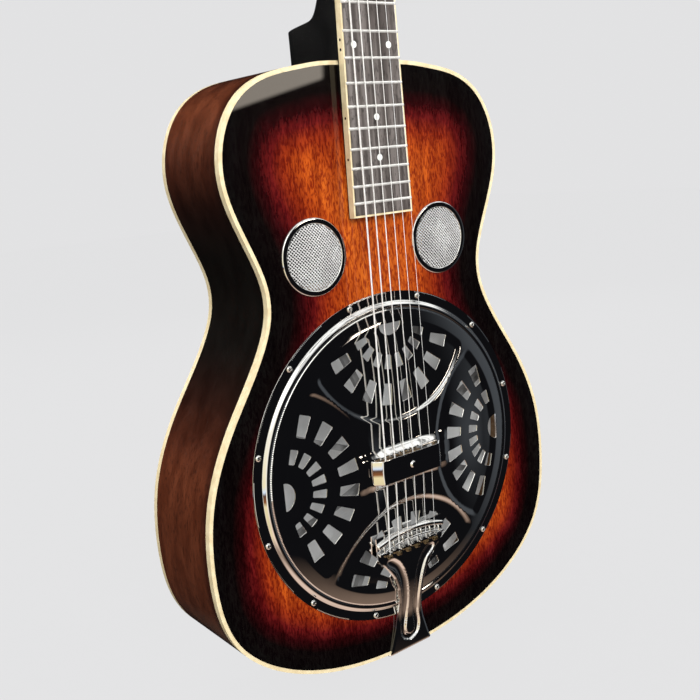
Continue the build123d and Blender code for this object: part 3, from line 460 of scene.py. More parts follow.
def make_materials():
    """Every finish of the record, by the name of its slot."""
    return {
        "sunburst_top": sunburst(),
        "mahogany": mahogany(),
        "cream_binding": plastic("cream_binding", rgb(0.74, 0.63, 0.40), rgb(0.62, 0.50, 0.29), 0.34, 160.0),
        "inner_wood": plain_wood("inner_wood", rgb(0.42, 0.27, 0.15), rgb(0.24, 0.13, 0.06), 0, 0.7),
        "spun_aluminium": spun_metal_with_painted_glow(),
        "cast_aluminium": metal("cast_aluminium", grey(0.34), grey(0.2), 0.5, 0.5, 600.0, 0.0001),
        "maple": plain_wood("maple", rgb(0.75, 0.55, 0.33), rgb(0.55, 0.36, 0.19), 0, 0.45),
        "steel": metal("steel", rgb(0.62, 0.62, 0.64), rgb(0.42, 0.42, 0.44), 0.24),
        "chrome": metal("chrome", rgb(0.93, 0.93, 0.92), grey(0.86), 0.035, 1.0, 1400.0, 0.0000006),
        "wire_mesh": metal("wire_mesh", rgb(0.97, 0.97, 0.96), rgb(0.72, 0.72, 0.71), 0.25, 0.4),
        "black_lacquer": plastic("black_lacquer", grey(0.010), grey(0.005), 0.16, 20.0, 1.0),
        "black_plastic": plastic("black_plastic", rgb(0.016, 0.016, 0.017), grey(0.008), 0.34),
        "rosewood": rosewood(),
        "pearl": pearl(),
        "fret_metal": metal("fret_metal", rgb(0.95, 0.94, 0.90), rgb(0.80, 0.79, 0.75), 0.22, 0.55,
                            1500.0, 0.000004, (0.1, 1, 1)),
        "bone": plastic("bone", rgb(0.86, 0.82, 0.70), rgb(0.70, 0.64, 0.50), 0.3, 320.0),
        "brass": metal("brass", rgb(0.30, 0.23, 0.13), rgb(0.12, 0.09, 0.05), 0.3),
        "gear_brass": metal("gear_brass", rgb(0.84, 0.64, 0.30), rgb(0.50, 0.35, 0.14), 0.28, 1.0,
                            900.0, 0.00001),
        "knob_cream": plastic("knob_cream", rgb(0.86, 0.80, 0.63), rgb(0.66, 0.56, 0.38), 0.22, 110.0, 0.7),
        "plain_string": metal("plain_string", rgb(0.97, 0.97, 0.96), grey(0.86), 0.22, 0.3),
        "wound_string": wound_string(),
    }


# ---------------------------------------------------------------------------
# Mesh building.  A part is its corners, its faces and one normal for each
# corner, which is zero where the faces about the corner decide.
# ---------------------------------------------------------------------------
def spot(across, out, up):
    """Points in metres from millimetres: across, out of the soundboard, up from the saddle."""
    across, out, up = np.broadcast_arrays(across, out, up)
    return np.stack([across * MM, FRONT - out * MM, SADDLE + up * MM], axis=-1).astype(float)


def smooth(value):
    value = np.clip(value, 0.0, 1.0)
    return value * value * (3 - 2 * value)


def bare_part(points, faces):
    """A part with no normals of its own."""
    return np.array([point[:] for point in points]), faces, np.zeros((len(points), 3))


def join_parts(parts):
    points, faces, normals, first = [], [], [], 0
    for part_points, part_faces, part_normals in parts:
        points.append(np.asarray(part_points, float))
        faces += [tuple(corner + first for corner in face) for face in part_faces]
        normals.append(np.asarray(part_normals, float))
        first += len(part_points)
    return np.concatenate(points), faces, np.concatenate(normals)


def make_object(name, parts, slot, body="guitar", replaces=(), sharp=None):
    """One mesh object from parts, with its material, its body and the nodes that it replaces."""
    points, faces, normals = join_parts(parts)
    mesh = bpy.data.meshes.new(name)
    mesh.from_pydata(points.tolist(), [], faces)
    mesh.shade_smooth()
    if sharp is not None:
        mesh.set_sharp_from_angle(angle=radians(sharp))
    given = np.linalg.norm(normals, axis=1) > 0.5
    if given.all():
        mesh.normals_split_custom_set_from_vertices(normals.tolist())
    mesh.materials.append(MATERIALS[slot])
    piece = bpy.data.objects.new(name, mesh)
    bpy.context.scene.collection.objects.link(piece)
    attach(piece, body)
    if replaces:
        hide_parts(*replaces)
    return piece


RIM_CLEAR = 0.45


def flat_mesh(loops, inner):
    """Triangles inside the first loop and outside the others, with the inner points in them."""
    rim = [Vector(point) for loop in loops for point in loop]
    edges, first = [], 0
    for loop in loops:
        count = len(loop)
        edges += [(first + k, first + (k + 1) % count) for k in range(count)]
        first += count
    near = KDTree(len(rim))
    for index, point in enumerate(rim):
        near.insert((point.x, point.y, 0), index)
    near.balance()
    gap = [RIM_CLEAR * near.find_n((point.x, point.y, 0), 2)[1][2] for point in rim]
    kept = []
    for point in inner:
        _, index, reach = near.find((point[0], point[1], 0))
        if reach > gap[index]:
            kept.append(Vector(point))
    result = delaunay_2d_cdt(rim + kept, edges, [], 1, 1e-7)
    flat = np.array([corner[:] for corner in result[0]])
    faces = np.array(result[2])
    middles = flat[faces].mean(axis=1)
    solid = inside(middles, loops[0])
    for loop in loops[1:]:
        solid &= ~inside(middles, loop)
    faces = faces[solid]
    used, faces = np.unique(faces, return_inverse=True)
    return flat[used], [tuple(face) for face in faces.reshape(-1, 3).tolist()]


def inside(points, loop):
    """Which points lie inside a closed loop."""
    ring = np.array(loop)
    low, high = ring.min(axis=0), ring.max(axis=0)
    result = np.zeros(len(points), bool)
    near = np.flatnonzero(((points >= low) & (points <= high)).all(axis=1))
    x, y = points[near, 0], points[near, 1]
    odd = np.zeros(len(near), bool)
    for (x1, y1), (x2, y2) in zip(ring, np.roll(ring, -1, axis=0)):
        if y1 != y2:
            odd ^= ((y1 > y) != (y2 > y)) & (x < (x2 - x1) * (y - y1) / (y2 - y1) + x1)
    result[near] = odd
    return result


ROW_STEP = 0.866


def grid_points(low, high, step):
    """Points of a triangular grid over a rectangle."""
    rows = int((high[1] - low[1]) / (step * ROW_STEP)) + 1
    columns = int((high[0] - low[0]) / step) + 2
    return [(low[0] + (column - 0.5 * (row % 2)) * step, low[1] + row * step * ROW_STEP)
            for row in range(rows) for column in range(columns)]


SLOPE_STEP = 0.02


def sheet(loops, inner, place, thickness, floor=None):
    """A sheet cut along flat loops and pressed to shape.  place(u, v) is the front face;
    the back is thickness behind it, and never below floor, a height above the soundboard."""
    flat, faces = flat_mesh(loops, inner)
    u, v = flat[:, 0], flat[:, 1]
    step = SLOPE_STEP
    front = place(u, v)
    along = place(u + step, v) - place(u - step, v)
    aside = place(u, v + step) - place(u, v - step)
    normal = np.cross(along, aside)
    normal /= np.linalg.norm(normal, axis=1)[:, None]
    a, b, c = (front[faces[0][k]] for k in range(3))
    if np.dot(np.cross(b - a, c - a), normal[faces[0][0]]) < 0:
        faces = [tuple(reversed(face)) for face in faces]
    back = front - normal * thickness * MM
    if floor is not None:
        back[:, 1] = np.minimum(back[:, 1], FRONT - floor * MM)
    count = len(front)
    edges = {}
    for face in faces:
        for k in range(3):
            edges[(face[k], face[(k + 1) % 3])] = True
    rim = [edge for edge in edges if (edge[1], edge[0]) not in edges]
    points = [front, back]
    normals = [normal, -normal]
    wall_faces, first = [], 2 * count
    for start, end in rim:
        corners = np.array([front[start], back[start], back[end], front[end]])
        side = np.cross(corners[1] - corners[0], corners[3] - corners[0])
        side /= max(np.linalg.norm(side), 1e-12)
        lips = [side + normal[start], side, side, side + normal[end]]
        points.append(corners)
        normals.append([lip / np.linalg.norm(lip) for lip in lips])
        wall_faces.append((first, first + 1, first + 2, first + 3))
        first += 4
    behind = [tuple(count + corner for corner in reversed(face)) for face in faces]
    return np.concatenate(points), faces + behind + wall_faces, np.concatenate(normals)


def lathe(profile, centre, axis, turns):
    """A closed profile of (radius, height) pairs, in mm, turned about an axis."""
    axis = Vector(axis).normalized()
    side = axis.orthogonal().normalized()
    other = axis.cross(side)
    points, faces = [], []
    count = len(profile)
    for k in range(turns):
        angle = tau * k / turns
        ray = side * cos(angle) + other * sin(angle)
        for radius, height in profile:
            points.append(Vector(centre) + (ray * radius + axis * height) * MM)
    for k in range(turns):
        first, after = k * count, ((k + 1) % turns) * count
        for j in range(count):
            nxt = (j + 1) % count
            faces.append((first + j, after + j, after + nxt, first + nxt))
    return bare_part(points, faces)


def tube(path, radius, sides):
    """A round wire along points in metres, closed at its two ends."""
    points, faces = [], []
    path = [Vector(p) for p in path]
    normal = None
    for k, point in enumerate(path):
        before = path[max(k - 1, 0)]
        after = path[min(k + 1, len(path) - 1)]
        tangent = (after - before).normalized()
        normal = tangent.orthogonal() if normal is None else normal - tangent * normal.dot(tangent)
        normal.normalize()
        other = tangent.cross(normal)
        for j in range(sides):
            angle = tau * j / sides
            points.append(point + (normal * cos(angle) + other * sin(angle)) * radius)
    for k in range(len(path) - 1):
        first, after = k * sides, (k + 1) * sides
        for j in range(sides):
            nxt = (j + 1) % sides
            faces.append((first + j, first + nxt, after + nxt, after + j))
    faces.append(tuple(reversed(range(sides))))
    faces.append(tuple(range(len(points) - sides, len(points))))
    return bare_part(points, faces)


def circle(radius, count, centre=(0, 0)):
    return [(centre[0] + radius * cos(tau * k / count), centre[1] + radius * sin(tau * k / count))
            for k in range(count)]


def soften(corners, radius, step=2.0):
    """A polygon with rounded corners and divided sides, as a loop."""
    loop = []
    count = len(corners)
    for k in range(count):
        before, here, after = (Vector(corners[(k + j) % count]) for j in (-1, 0, 1))
        into, out = (before - here).normalized(), (after - here).normalized()
        start, end = here + into * radius, here + out * radius
        for t in (0.0, 0.25, 0.5, 0.75, 1.0):
            loop.append(tuple((start * (1 - t) ** 2 + here * 2 * t * (1 - t) + end * t * t)[:]))
        goal = after - out * radius
        run = (goal - end).length
        parts = max(1, int(run / step))
        for j in range(1, parts):
            loop.append(tuple((end + (goal - end) * (j / parts))[:]))
    return loop


def face_loops(node, direction):
    """The outlines of a CAD node's flat face that looks along direction, as loops in metres."""
    mesh = frame["nodes"][node].data
    mesh.calc_loop_triangles()
    look = Vector(direction)
    depth = max(v.co.dot(look) for v in mesh.vertices)
    follows = {}
    for triangle in mesh.loop_triangles:
        corners = [mesh.vertices[i].co for i in triangle.vertices]
        if triangle.normal.dot(look) > 0.999 and min(c.dot(look) for c in corners) > depth - 0.00002:
            keys = [(round(c.x, 7), round(c.z, 7)) for c in corners]
            for k in range(3):
                follows[(keys[k], keys[(k + 1) % 3])] = True
    rim = {a: b for a, b in follows if (b, a) not in follows}
    loops = []
    while rim:
        start, here = rim.popitem()
        loop = [start]
        while here != start:
            loop.append(here)
            here = rim.pop(here)
        loops.append(loop)
    loops.sort(key=lambda loop: -max(x for x, _ in loop))
    return loops


def even_loop(loop, step):
    """The same closed line with points about step apart."""
    ring = np.array(loop + [loop[0]])
    reach = np.concatenate([[0], np.cumsum(np.hypot(*np.diff(ring, axis=0).T))])
    count = max(8, int(reach[-1] / step))
    marks = np.linspace(0, reach[-1], count, endpoint=False)
    return list(zip(np.interp(marks, reach, ring[:, 0]), np.interp(marks, reach, ring[:, 1])))


# ---------------------------------------------------------------------------
# Wood: the top as a fine mesh that knows how far away its edge is
# ---------------------------------------------------------------------------
def edge_distance(points, loop):
    """How far each point is from the closest point of a loop."""
    near = KDTree(len(loop))
    for index, (x, z) in enumerate(loop):
        near.insert((x, z, 0), index)
    near.balance()
    return [near.find((x, z, 0))[2] for x, z in points]


TOP_THICK = 3.4


def make_soundboard():
    """The top over its CAD outline and openings, with the distance to its edge stored."""
    loops = [even_loop(loop, 0.003) for loop in face_loops("top", (0, -1, 0))]
    low = [min(p[k] for p in loops[0]) for k in (0, 1)]
    high = [max(p[k] for p in loops[0]) for k in (0, 1)]
    part = sheet(loops, grid_points(low, high, 0.0055),
                 lambda x, z: np.stack([x, np.full_like(x, FRONT), z], axis=-1), TOP_THICK)
    plate = make_object("soundboard", [part], "sunburst_top", replaces=["top"])
    fine = even_loop(loops[0], 0.001)
    reach = edge_distance([(v.co.x, v.co.z) for v in plate.data.vertices], fine)
    mark = plate.data.attributes.new("edge", "FLOAT", "POINT")
    mark.data.foreach_set("value", reach)


# ---------------------------------------------------------------------------
# Coverplate: one pressed sheet with four fans of slots.  From its edge inward:
# a flat flange, a raised bead, a dome with a shallow lobe round each fan, a
# flat middle, and the raised turret under the palm rest.
# ---------------------------------------------------------------------------
FLANGE_H = 0.9
FLANGE_RISE = 0.25
FLANGE_DROP = 0.5
BEAD_OUT = 133.8
BEAD_TOP = 130.2
BEAD_IN = 127.6
BEAD_H = 3.6
BEAD_ROUND = 1.9
DOME_MARKS = (50.0, 108.0, 120.0, 127.6)
DOME_SLOPES = (0.0, 0.10, 0.22, 0.25)
DOME_EDGE_H = 2.9
DOME_STEP = 0.5
PLATEAU_R = 50.0
PLATEAU_H = 9.6
LOBE_AT = 121.0
LOBE_R = 87.5
LOBE_DEEP = 1.9
LOBE_STEP = 6.0
TURRET = (52.0, 17.5, 7.0)
TURRET_Z = -1.0
TURRET_H = 5.9
TURRET_SLANT = 9.5
SWELL_H = 4.0
SWELL_WIDE = 42
FAN_STEP = 19.8
FAN_BIG = (113.5, 46.5, 64.5, 4.75)
FAN_SMALL = (117.0, 26.0, 38.0, 5.6)
HALF_MOON = (10.0, 11.4)
STRING_GAP = ((-30, -9), (30, -9), (30, 8), (-30, 8))
PLATE_THICK = 1.1
PLATE_GRAIN = 1.45
PLATE_CLEAR = 0.05
SCREW_R = 138.4


def dome_height(reach):
    """The pressed plate without its lobes, from the slope at each distance from its middle."""
    marks = np.arange(PLATEAU_R, BEAD_IN + DOME_STEP, DOME_STEP)
    slopes = np.interp(marks, DOME_MARKS, DOME_SLOPES)
    falls = np.concatenate([[0], np.cumsum((slopes[1:] + slopes[:-1]) * DOME_STEP / 2)])
    return PLATEAU_H - np.interp(reach, marks, falls)


def turret_height(x, z):
    """The raised middle that carries the palm rest, and the swell of the plate beside it."""
    long, wide, corner = TURRET
    dx = np.maximum(np.abs(x) - (long - corner), 0)
    dz = np.maximum(np.abs(z - TURRET_Z) - (wide - corner), 0)
    slant = np.clip((corner - np.hypot(dx, dz)) / TURRET_SLANT, 0, 1)
    swell = smooth((100 - np.abs(x)) / 50) * smooth((np.abs(x) - 15) / 30)
    swell *= SWELL_H * np.exp(-(z / SWELL_WIDE) ** 2)
    ramp = 0.5 * smooth(slant) + 0.5 * slant
    return swell * (1 - ramp) + TURRET_H * ramp


def plate_height(x, z):
    """The whole pressed front face."""
    reach = np.hypot(x, z)
    lobe = np.zeros_like(reach)
    for across, up in ((1, 0), (-1, 0), (0, 1), (0, -1)):
        inner = LOBE_R - np.hypot(x - across * LOBE_AT, z - up * LOBE_AT)
        lobe = np.maximum(lobe, smooth(inner / LOBE_STEP))
    height = dome_height(reach) - LOBE_DEEP * lobe * smooth((118 - reach) / 9) + turret_height(x, z)
    outer = np.clip((BEAD_OUT - reach) / (BEAD_OUT - BEAD_TOP), 0, 1)
    inner = np.clip((reach - BEAD_IN) / (BEAD_TOP - BEAD_IN), 0, 1)
    bead = np.where(reach > BEAD_TOP,
                    FLANGE_H + (BEAD_H - FLANGE_H) * (1 - (1 - outer) ** BEAD_ROUND),
                    DOME_EDGE_H + (BEAD_H - DOME_EDGE_H) * smooth(inner))
    flange = FLANGE_H + FLANGE_RISE * smooth((reach - COVER_R + 5) / 5)
    flange -= FLANGE_DROP * smooth((reach - COVER_R + 0.8) / 0.8)
    return np.where(reach > BEAD_OUT, flange, np.where(reach > BEAD_IN, bead, height))


def fan_loops():
    """Slots of the fan on the left, as loops about the plate's centre."""
    loops = []
    for at, low, high, half in (FAN_BIG, FAN_SMALL):
        for k in range(8):
            middle = radians((k - 3.5) * FAN_STEP)
            corners = []
            for reach, side in ((low, -1), (high, -1), (high, 1), (low, 1)):
                angle = middle + side * radians(half)
                corners.append((-at + reach * cos(angle), reach * sin(angle)))
            loops.append(soften(corners, 0.9))
    moon = [(-FAN_SMALL[0] + HALF_MOON[0] * cos(a), HALF_MOON[1] * sin(a))
            for a in np.linspace(-pi / 2, pi / 2, 17)]
    flat = [(-FAN_SMALL[0], y) for y in np.linspace(HALF_MOON[1], -HALF_MOON[1], 11)[1:-1]]
    loops.append(moon + flat)
    return loops


def make_coverplate():
    fan = fan_loops()
    loops = [circle(COVER_R, 600)]
    for _ in range(4):
        loops += fan
        fan = [[(-v, u) for u, v in loop] for loop in fan]
    loops.append(soften(STRING_GAP, 1.5, 1.4))
    rings = list(np.arange(2.0, BEAD_IN - 2, PLATE_GRAIN)) + [BEAD_IN - 1.4, BEAD_IN - 0.7]
    rings += list(np.linspace(BEAD_IN, BEAD_TOP, 6)) + list(np.linspace(BEAD_TOP, BEAD_OUT, 9)[1:])
    rings += [BEAD_OUT + gap for gap in (0.6, 1.4, 2.8, 4.2, 5.6, 6.6, 7.2, 7.6)]
    inner = [point for reach in rings for point in circle(reach, max(6, ceil(tau * reach / PLATE_GRAIN)))]
    part = sheet(loops, inner, lambda x, z: spot(x, plate_height(x, z), z), PLATE_THICK, PLATE_CLEAR)
    make_object("coverplate_shell", [part], "chrome", replaces=["coverplate"])


# ---------------------------------------------------------------------------
# Bent sheets: the palm rest and the tailpiece
# ---------------------------------------------------------------------------
def bent_line(corners):
    """A side view of (along, height, radius) corners, as a function of the length along it."""
    path = []
    for k, (along, height, radius) in enumerate(corners):
        here = Vector((along, height))
        if k in (0, len(corners) - 1) or radius == 0:
            path.append(here)
            continue
        before, after = (Vector(corners[k + j][:2]) for j in (-1, 1))
        into, out = (before - here).normalized(), (after - here).normalized()
        reach = min(radius * 0.6, (before - here).length * 0.48, (after - here).length * 0.48)
        start, end = here + into * reach, here + out * reach
        for t in np.linspace(0, 1, 15):
            path.append(start * (1 - t) ** 2 + here * 2 * t * (1 - t) + end * t * t)
    path = np.array([p[:] for p in path])
    reach = np.concatenate([[0], np.cumsum(np.hypot(*np.diff(path, axis=0).T))])

    def at(length, lift):
        """The point that lies length along the line and lift above it."""
        ahead, behind = length + 0.3, length - 0.3
        along = np.interp(length, reach, path[:, 0])
        height = np.interp(length, reach, path[:, 1])
        run = np.interp(ahead, reach, path[:, 0]) - np.interp(behind, reach, path[:, 0])
        rise = np.interp(ahead, reach, path[:, 1]) - np.interp(behind, reach, path[:, 1])
        size = np.hypot(run, rise)
        return along - rise / size * lift, height + run / size * lift

    return at, reach[-1]


PALM_THICK = 1.1
PALM_HOLE_R = 2.2
PALM_HOLE_Z = -1
EDGE_FROM = 0.92


def make_palm_rest():
    """A bar with slightly rounded long edges and two splayed legs."""
    low, high = (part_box("palm_rest")[k] for k in (0, 1))
    top = (FRONT - low.y) / MM
    foot = (FRONT - high.y) / MM
    reach = high.x / MM
    rim = reach - (top - foot)
    at, length = bent_line([(-reach + 0.2, foot + 0.2, 0), (-rim, top, 2.5), (0, top, 0),
                            (rim, top, 2.5), (reach - 0.2, foot + 0.2, 0)])
    back, ahead = ((corner.z - SADDLE) / MM for corner in (low, high))
    middle, half = (back + ahead) / 2, (ahead - back) / 2
    leg = hypot(reach - rim, top - foot)

    def place(u, v):
        side = np.abs(v) / half
        on_leg = smooth((leg - np.minimum(u, length - u)) / 2)
        rounding = np.clip((side - EDGE_FROM) / (1 - EDGE_FROM), 0, 1)
        drop = 0.22 * rounding ** 2 + 0.45 * on_leg * side ** 2
        x, h = at(u, -drop)
        return spot(x, h, v + middle)

    outline = soften([(0, -half), (length, -half), (length, half), (0, half)], 1.2, 1.0)
    hole = circle(PALM_HOLE_R, 24, (length / 2, PALM_HOLE_Z - middle))
    inner = grid_points((0, -half), (length, half), 0.8)
    for edge in np.linspace(EDGE_FROM, 0.985, 5):
        for side in (-1, 1):
            inner += [(u, side * edge * half) for u in np.arange(0.5, length, 0.9)]
    part = sheet([outline, hole], inner, place, PALM_THICK)
    make_object("palm_rest_bar", [part], "chrome", replaces=["palm_rest"])


TAIL_START = -60.0
TAIL_END = -179.4
TAIL_H = 1.6
TAB_END = -58
TAIL_THICK = 1.3
PIN_R = 3.1
PIN_DEPTH = 46.5
ARM_LINE = ((22.5, -86.5), (15.0, -93.5), (10.4, -104.0), (7.6, -116.0), (6.2, -131.0), (6.6, -147.0),
            (8.0, -158.0), (6.2, -166.0), (0.0, -169.5))


def curve_through(points, count):
    """A smooth line through points (Catmull-Rom)."""
    points = [Vector(p) for p in points]
    points = [points[0] * 2 - points[1]] + points + [points[-1] * 2 - points[-2]]
    line = []
    spans = len(points) - 3
    for k in range(spans):
        a, b, c, d = points[k:k + 4]
        for t in np.linspace(0, 1, count // spans, endpoint=k == spans - 1):
            line.append(0.5 * ((2 * b) + (c - a) * t + (2 * a - 5 * b + 4 * c - d) * t ** 2
                               + (3 * b - a - 3 * c + d) * t ** 3))
    return np.array([p[:] for p in line])


def tailpiece_half(up):
    """Half the width of the tailpiece at a flat place along it, measured from the saddle."""
    marks = [-252, -240, -232, -214, -196, -182, -170, -155, -142, -130, -116, -103, -92, -80, -60]
    wide = [0, 10, 13.5, 16.5, 20.5, 25, 20.5, 16, 13.8, 13, 14.5, 19, 26.5, 36.5, 37]
    return np.interp(up, marks, wide)


def make_tailpiece():
    """A sheet that runs down to the tail and bends over it, with two arms raised out of it."""
    at, length = bent_line([(TAIL_START, 11.4, 0), (-84, 11.4, 40), (-115, 9.0, 60), (-132, 6.2, 60),
                            (-146, 3.1, 50), (-156, 2.8, 30), (TAIL_END, TAIL_H, 5),
                            (TAIL_END, TAB_END, 0)])
    to_bend = TAIL_START - TAIL_END + TAIL_H
    fall = to_bend - TAB_END
    stretch = length / fall
    arm = curve_through(ARM_LINE, 96)
    arm = np.concatenate([arm, arm[::-1] * (-1, 1)])

    def lift(x, up):
        gap = np.hypot(x[:, None] - arm[:, 0], up[:, None] - arm[:, 1]).min(axis=1)
        wide = np.interp(up, [-168, -140, -86], [2.9, 3.5, 4.6])
        ridge = 2.5 * np.sqrt(np.clip(1 - (gap / wide) ** 2, 0, 1)) * smooth((-82.5 - up) / 3)
        edge = tailpiece_half(up) - np.abs(x)
        roll = 0.8 * smooth((1.8 - edge) / 1.8)
        return ridge + roll * smooth((-84 - up) / 4)

    def place(x, v):
        a, h = at((TAIL_START - v) * stretch, lift(x, v))
        return spot(x, h, a)

    end = TAIL_START - fall
    ups = np.concatenate([np.linspace(TAIL_START, -245, 100), np.linspace(-246, end + 1, 10)])
    right = [(float(tailpiece_half(up)), float(up)) for up in ups if up > end]
    right = [(x, u) for x, u in right if x > 1.0]
    outline = right + [(-x, u) for x, u in reversed(right)]
    pin = circle(PIN_R, 20, (0, TAIL_START - (to_bend + PIN_DEPTH) / stretch))
    inner = grid_points((-38, end), (38, TAIL_START), 0.85)
    web = sheet([even_loop(outline, 1.0), pin], inner, place, TAIL_THICK)
    make_object("tailpiece_plate", [web] + string_bar(), "chrome", replaces=["tailpiece"])


BAR_Z = -75.0
BAR_HALF = 36.0
BAR_LOW = 10.6
BAR_HIGH = 17.6
BAR_FALL = 3.2
BAR_THICK = 1.4
SLOT_H = 13.9
SLOT_CLEAR = 0.35
STRING_R = (0.67, 0.53, 0.41, 0.31, 0.20, 0.15)
STRING_STEP = 10.0 + 2.5 * 75 / SCALE
RAILS = ((-61.5, 12.0, 2.3), (-68.6, 13.4, 1.0))
RAIL_SAG = 6.0


def string_bar():
    """The arched wall that the strings hook through, and two rolled rails with links in front."""
    def arch(x):
        return BAR_HIGH - BAR_FALL * (abs(x) / BAR_HALF) ** 2

    def sag(x):
        return RAIL_SAG * (x / BAR_HALF) ** 2

    top = []
    x = -BAR_HALF
    for k, radius in enumerate(STRING_R):
        centre, half = (k - 2.5) * STRING_STEP, radius + SLOT_CLEAR
        top += [(v, arch(v)) for v in np.arange(x, centre - half - 0.4, 1.2)]
        top.append((centre - half, arch(centre)))
        top += [(centre + half * cos(a), SLOT_H + half * sin(a)) for a in np.linspace(pi, tau, 7)]
        top.append((centre + half, arch(centre)))
        x = centre + half + 0.6
    top += [(v, arch(v)) for v in np.arange(x, BAR_HALF + 0.01, 1.2)]
    outline = top + [(v, BAR_LOW) for v in np.arange(BAR_HALF, -BAR_HALF - 0.1, -1.2)]
    wall = sheet([outline], grid_points((-BAR_HALF, BAR_LOW), (BAR_HALF, 18), 1.0),
                 lambda x, h: spot(x, h, BAR_Z + 0.25 * ((h - 12) / 4) ** 2), BAR_THICK)
    rails = [tube([spot(v, out + 0.8 * (1 - (v / BAR_HALF) ** 2), middle - sag(v))
                   for v in np.linspace(-36.5, 36.5, 70)], radius * MM, 14)
             for middle, out, radius in RAILS]
    links = [tube([spot(v, 12.2, -62.0 - sag(v)), spot(v, 14.6, -68.0 - sag(v)), spot(v, 12.4, -74.6)],
                  0.75 * MM, 8) for v in np.linspace(-31, 31, 7)]
    return [wall] + rails + links


# ---------------------------------------------------------------------------
# Soundholes, screws, tuner worms
# ---------------------------------------------------------------------------
def make_soundholes():
    """Two pressed rings with a woven wire screen in each."""
    rings, wires = [], []
    for side in (-1, 1):
        centre = spot(side * HOLE_X, 0.0, HOLE_Z)
        profile = [(25.2, 0.1), (RING_R, 0.1), (RING_R, 0.7), (RING_R - 0.25, 1.2), (RING_R - 0.7, 1.5),
                   (RING_R - 1.1, 1.6), (26.3, 1.6), (25.9, 1.5), (25.5, 1.2), (25.2, 0.8)]
        rings.append(lathe(profile, centre, (0, -1, 0), 120))
        wires += woven_disc(centre)
    make_object("soundhole_bezels", rings, "chrome", replaces=["soundhole_rings"], sharp=50)
    make_object("woven_screens", wires, "wire_mesh", replaces=["soundhole_screens"])


MESH_R = 25.4
MESH_PITCH = 1.95
MESH_SEAT = 0.9
MESH_RISE = 2.9
MESH_WAVE = 0.26
WIRE_R = (0.24, 0.42)


def woven_disc(centre):
    """Wires over and under one another across a slightly domed disc, thicker along one way."""
    half = int(MESH_R / MESH_PITCH)
    diagonal = sqrt(0.5)
    parts = []
    for family, radius in enumerate(WIRE_R):
        for row in range(-half, half + 1):
            offset = row * MESH_PITCH
            reach = sqrt(MESH_R ** 2 - offset ** 2)
            path = []
            for step in np.arange(-reach, reach + 0.01, MESH_PITCH / 2):
                phase = pi * step / MESH_PITCH + pi * row + pi * family
                a, b = (step, offset) if family == 0 else (offset, step)
                x, z = (a - b) * diagonal, (a + b) * diagonal
                dome = MESH_RISE * (1 - (x * x + z * z) / MESH_R ** 2)
                out = MESH_SEAT + dome + MESH_WAVE * cos(phase)
                path.append(Vector(centre) + Vector((x, -out, z)) * MM)
            if len(path) > 2:
                parts.append(tube(path, radius * MM, 6))
    return parts


def screw_head(centre, right, up, radius, rise):
    """A domed head with a cross recess, standing on the plane of right and up."""
    right, up = np.array(Vector(right).normalized()), np.array(Vector(up).normalized())
    out = np.cross(right, up)

    def height(x, y):
        reach = np.hypot(x, y) / radius
        dome = rise * np.sqrt(np.clip(1.0 - 0.86 * reach ** 2.4, 0.01, 1))
        long, thin = 0.56 * radius, 0.13 * radius
        cross = np.zeros_like(dome)
        for a, b in ((x, y), (y, x)):
            arm = smooth((long - np.abs(a)) / 0.25) * smooth((thin - np.abs(b)) / 0.12 + 0.5)
            cross = np.maximum(cross, arm)
        return dome - 0.5 * rise * cross

    def place(x, y):
        lift = height(x, y)
        return np.array(centre) + (x[:, None] * right + y[:, None] * up + lift[:, None] * out) * MM

    step = radius / 11
    return sheet([circle(radius, 44)], grid_points((-radius, -radius), (radius, radius), step), place,
                 0.35 * rise)


SCREW_TURN = 37
HEAD_R = 2.4
HEAD_H = 1.5


def make_screws():
    """Twelve heads round the coverplate, each stopped at its own angle."""
    heads = []
    for k in range(12):
        angle = radians(15 + 30 * k)
        turn = radians(SCREW_TURN * k)
        centre = spot(SCREW_R * cos(angle), FLANGE_H, SCREW_R * sin(angle))
        right, up = (cos(turn), 0, sin(turn)), (-sin(turn), 0, cos(turn))
        heads.append(screw_head(centre, right, up, HEAD_R, HEAD_H))
    make_object("coverplate_screw_heads", heads, "chrome", replaces=["coverplate_screws"])


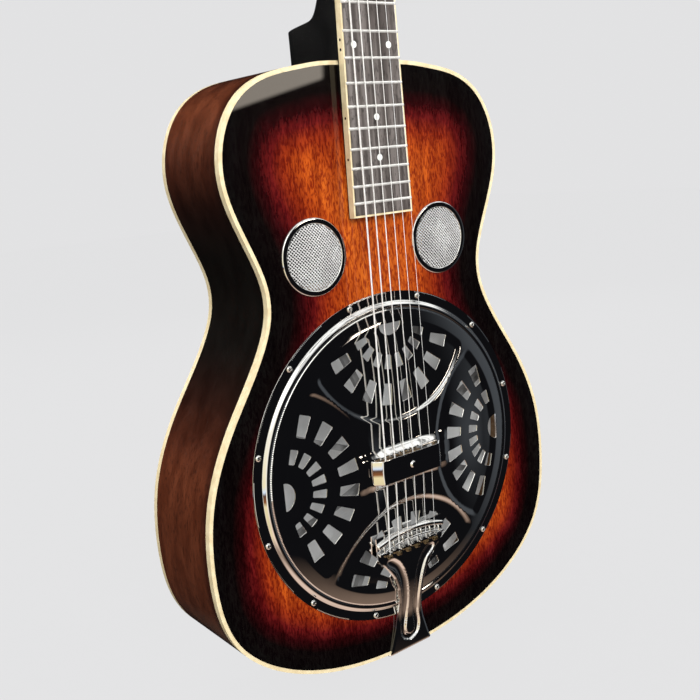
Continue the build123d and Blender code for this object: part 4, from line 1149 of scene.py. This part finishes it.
HEAD_TILT = radians(14)
WORM_AXIS = Vector((0.0, -cos(HEAD_TILT), sin(HEAD_TILT)))
WHEEL_R = 5.65
TEETH = 14
THREAD_TURNS = 3
TURN_STEPS = 28
THREAD_ROOT = 1.35
THREAD_TIP = 1.5
THREAD_RISE = 1.35
THREAD_TAPER = 8


def make_worms():
    """The raised thread on each tuning shaft, at the place where its wheel runs."""
    lead = tau * WHEEL_R / TEETH
    steps = TURN_STEPS * THREAD_TURNS
    places = {joint["name"]: Vector(joint["pos_m"]) for joint in frame["joints"]}
    for joint, centre in places.items():
        if not joint.startswith("turn_knob_"):
            continue
        name = joint[len("turn_knob_"):]
        wheel = places["wind_post_" + name]
        toward = Vector((0.0, wheel.y - centre.y, wheel.z - centre.z)).normalized()
        across = WORM_AXIS.cross(toward)
        points, faces = [], []
        for k in range(steps + 1):
            angle = tau * (k / TURN_STEPS - THREAD_TURNS / 2)
            along = lead * angle / tau
            ray = toward * cos(angle) + across * sin(angle)
            tip = THREAD_TIP + THREAD_RISE * min(1.0, k / THREAD_TAPER, (steps - k) / THREAD_TAPER)
            for radius, offset in ((THREAD_ROOT, -0.72), (tip, -0.26), (tip, 0.26), (THREAD_ROOT, 0.72)):
                points.append(centre + (ray * radius + WORM_AXIS * (along + offset)) * MM)
        for k in range(steps):
            for j in range(4):
                a, b = k * 4 + j, k * 4 + (j + 1) % 4
                faces.append((a, b, b + 4, a + 4))
        faces.append((3, 2, 1, 0))
        faces.append(tuple(steps * 4 + j for j in range(4)))
        make_object("worm_thread_" + name, [bare_part(points, faces)], "steel",
                    body="tuning_knob_" + name, sharp=40)


# ---------------------------------------------------------------------------
# CAD pieces that stay as they are take their finish from the record
# ---------------------------------------------------------------------------
def finish_cad_nodes():
    slots = {row["node"]: row["material_slot"] for row in frame["record"]["subparts"]}
    for name, node in frame["nodes"].items():
        node.data.materials.clear()
        node.data.materials.append(MATERIALS[slots[name]])


aim_camera()
light_world()
hang_lights()
lay_floor()
MATERIALS = make_materials()
finish_cad_nodes()
make_soundboard()
make_coverplate()
make_palm_rest()
make_tailpiece()
make_soundholes()
make_screws()
make_worms()
bpy.context.scene.view_settings.view_transform = "Standard"
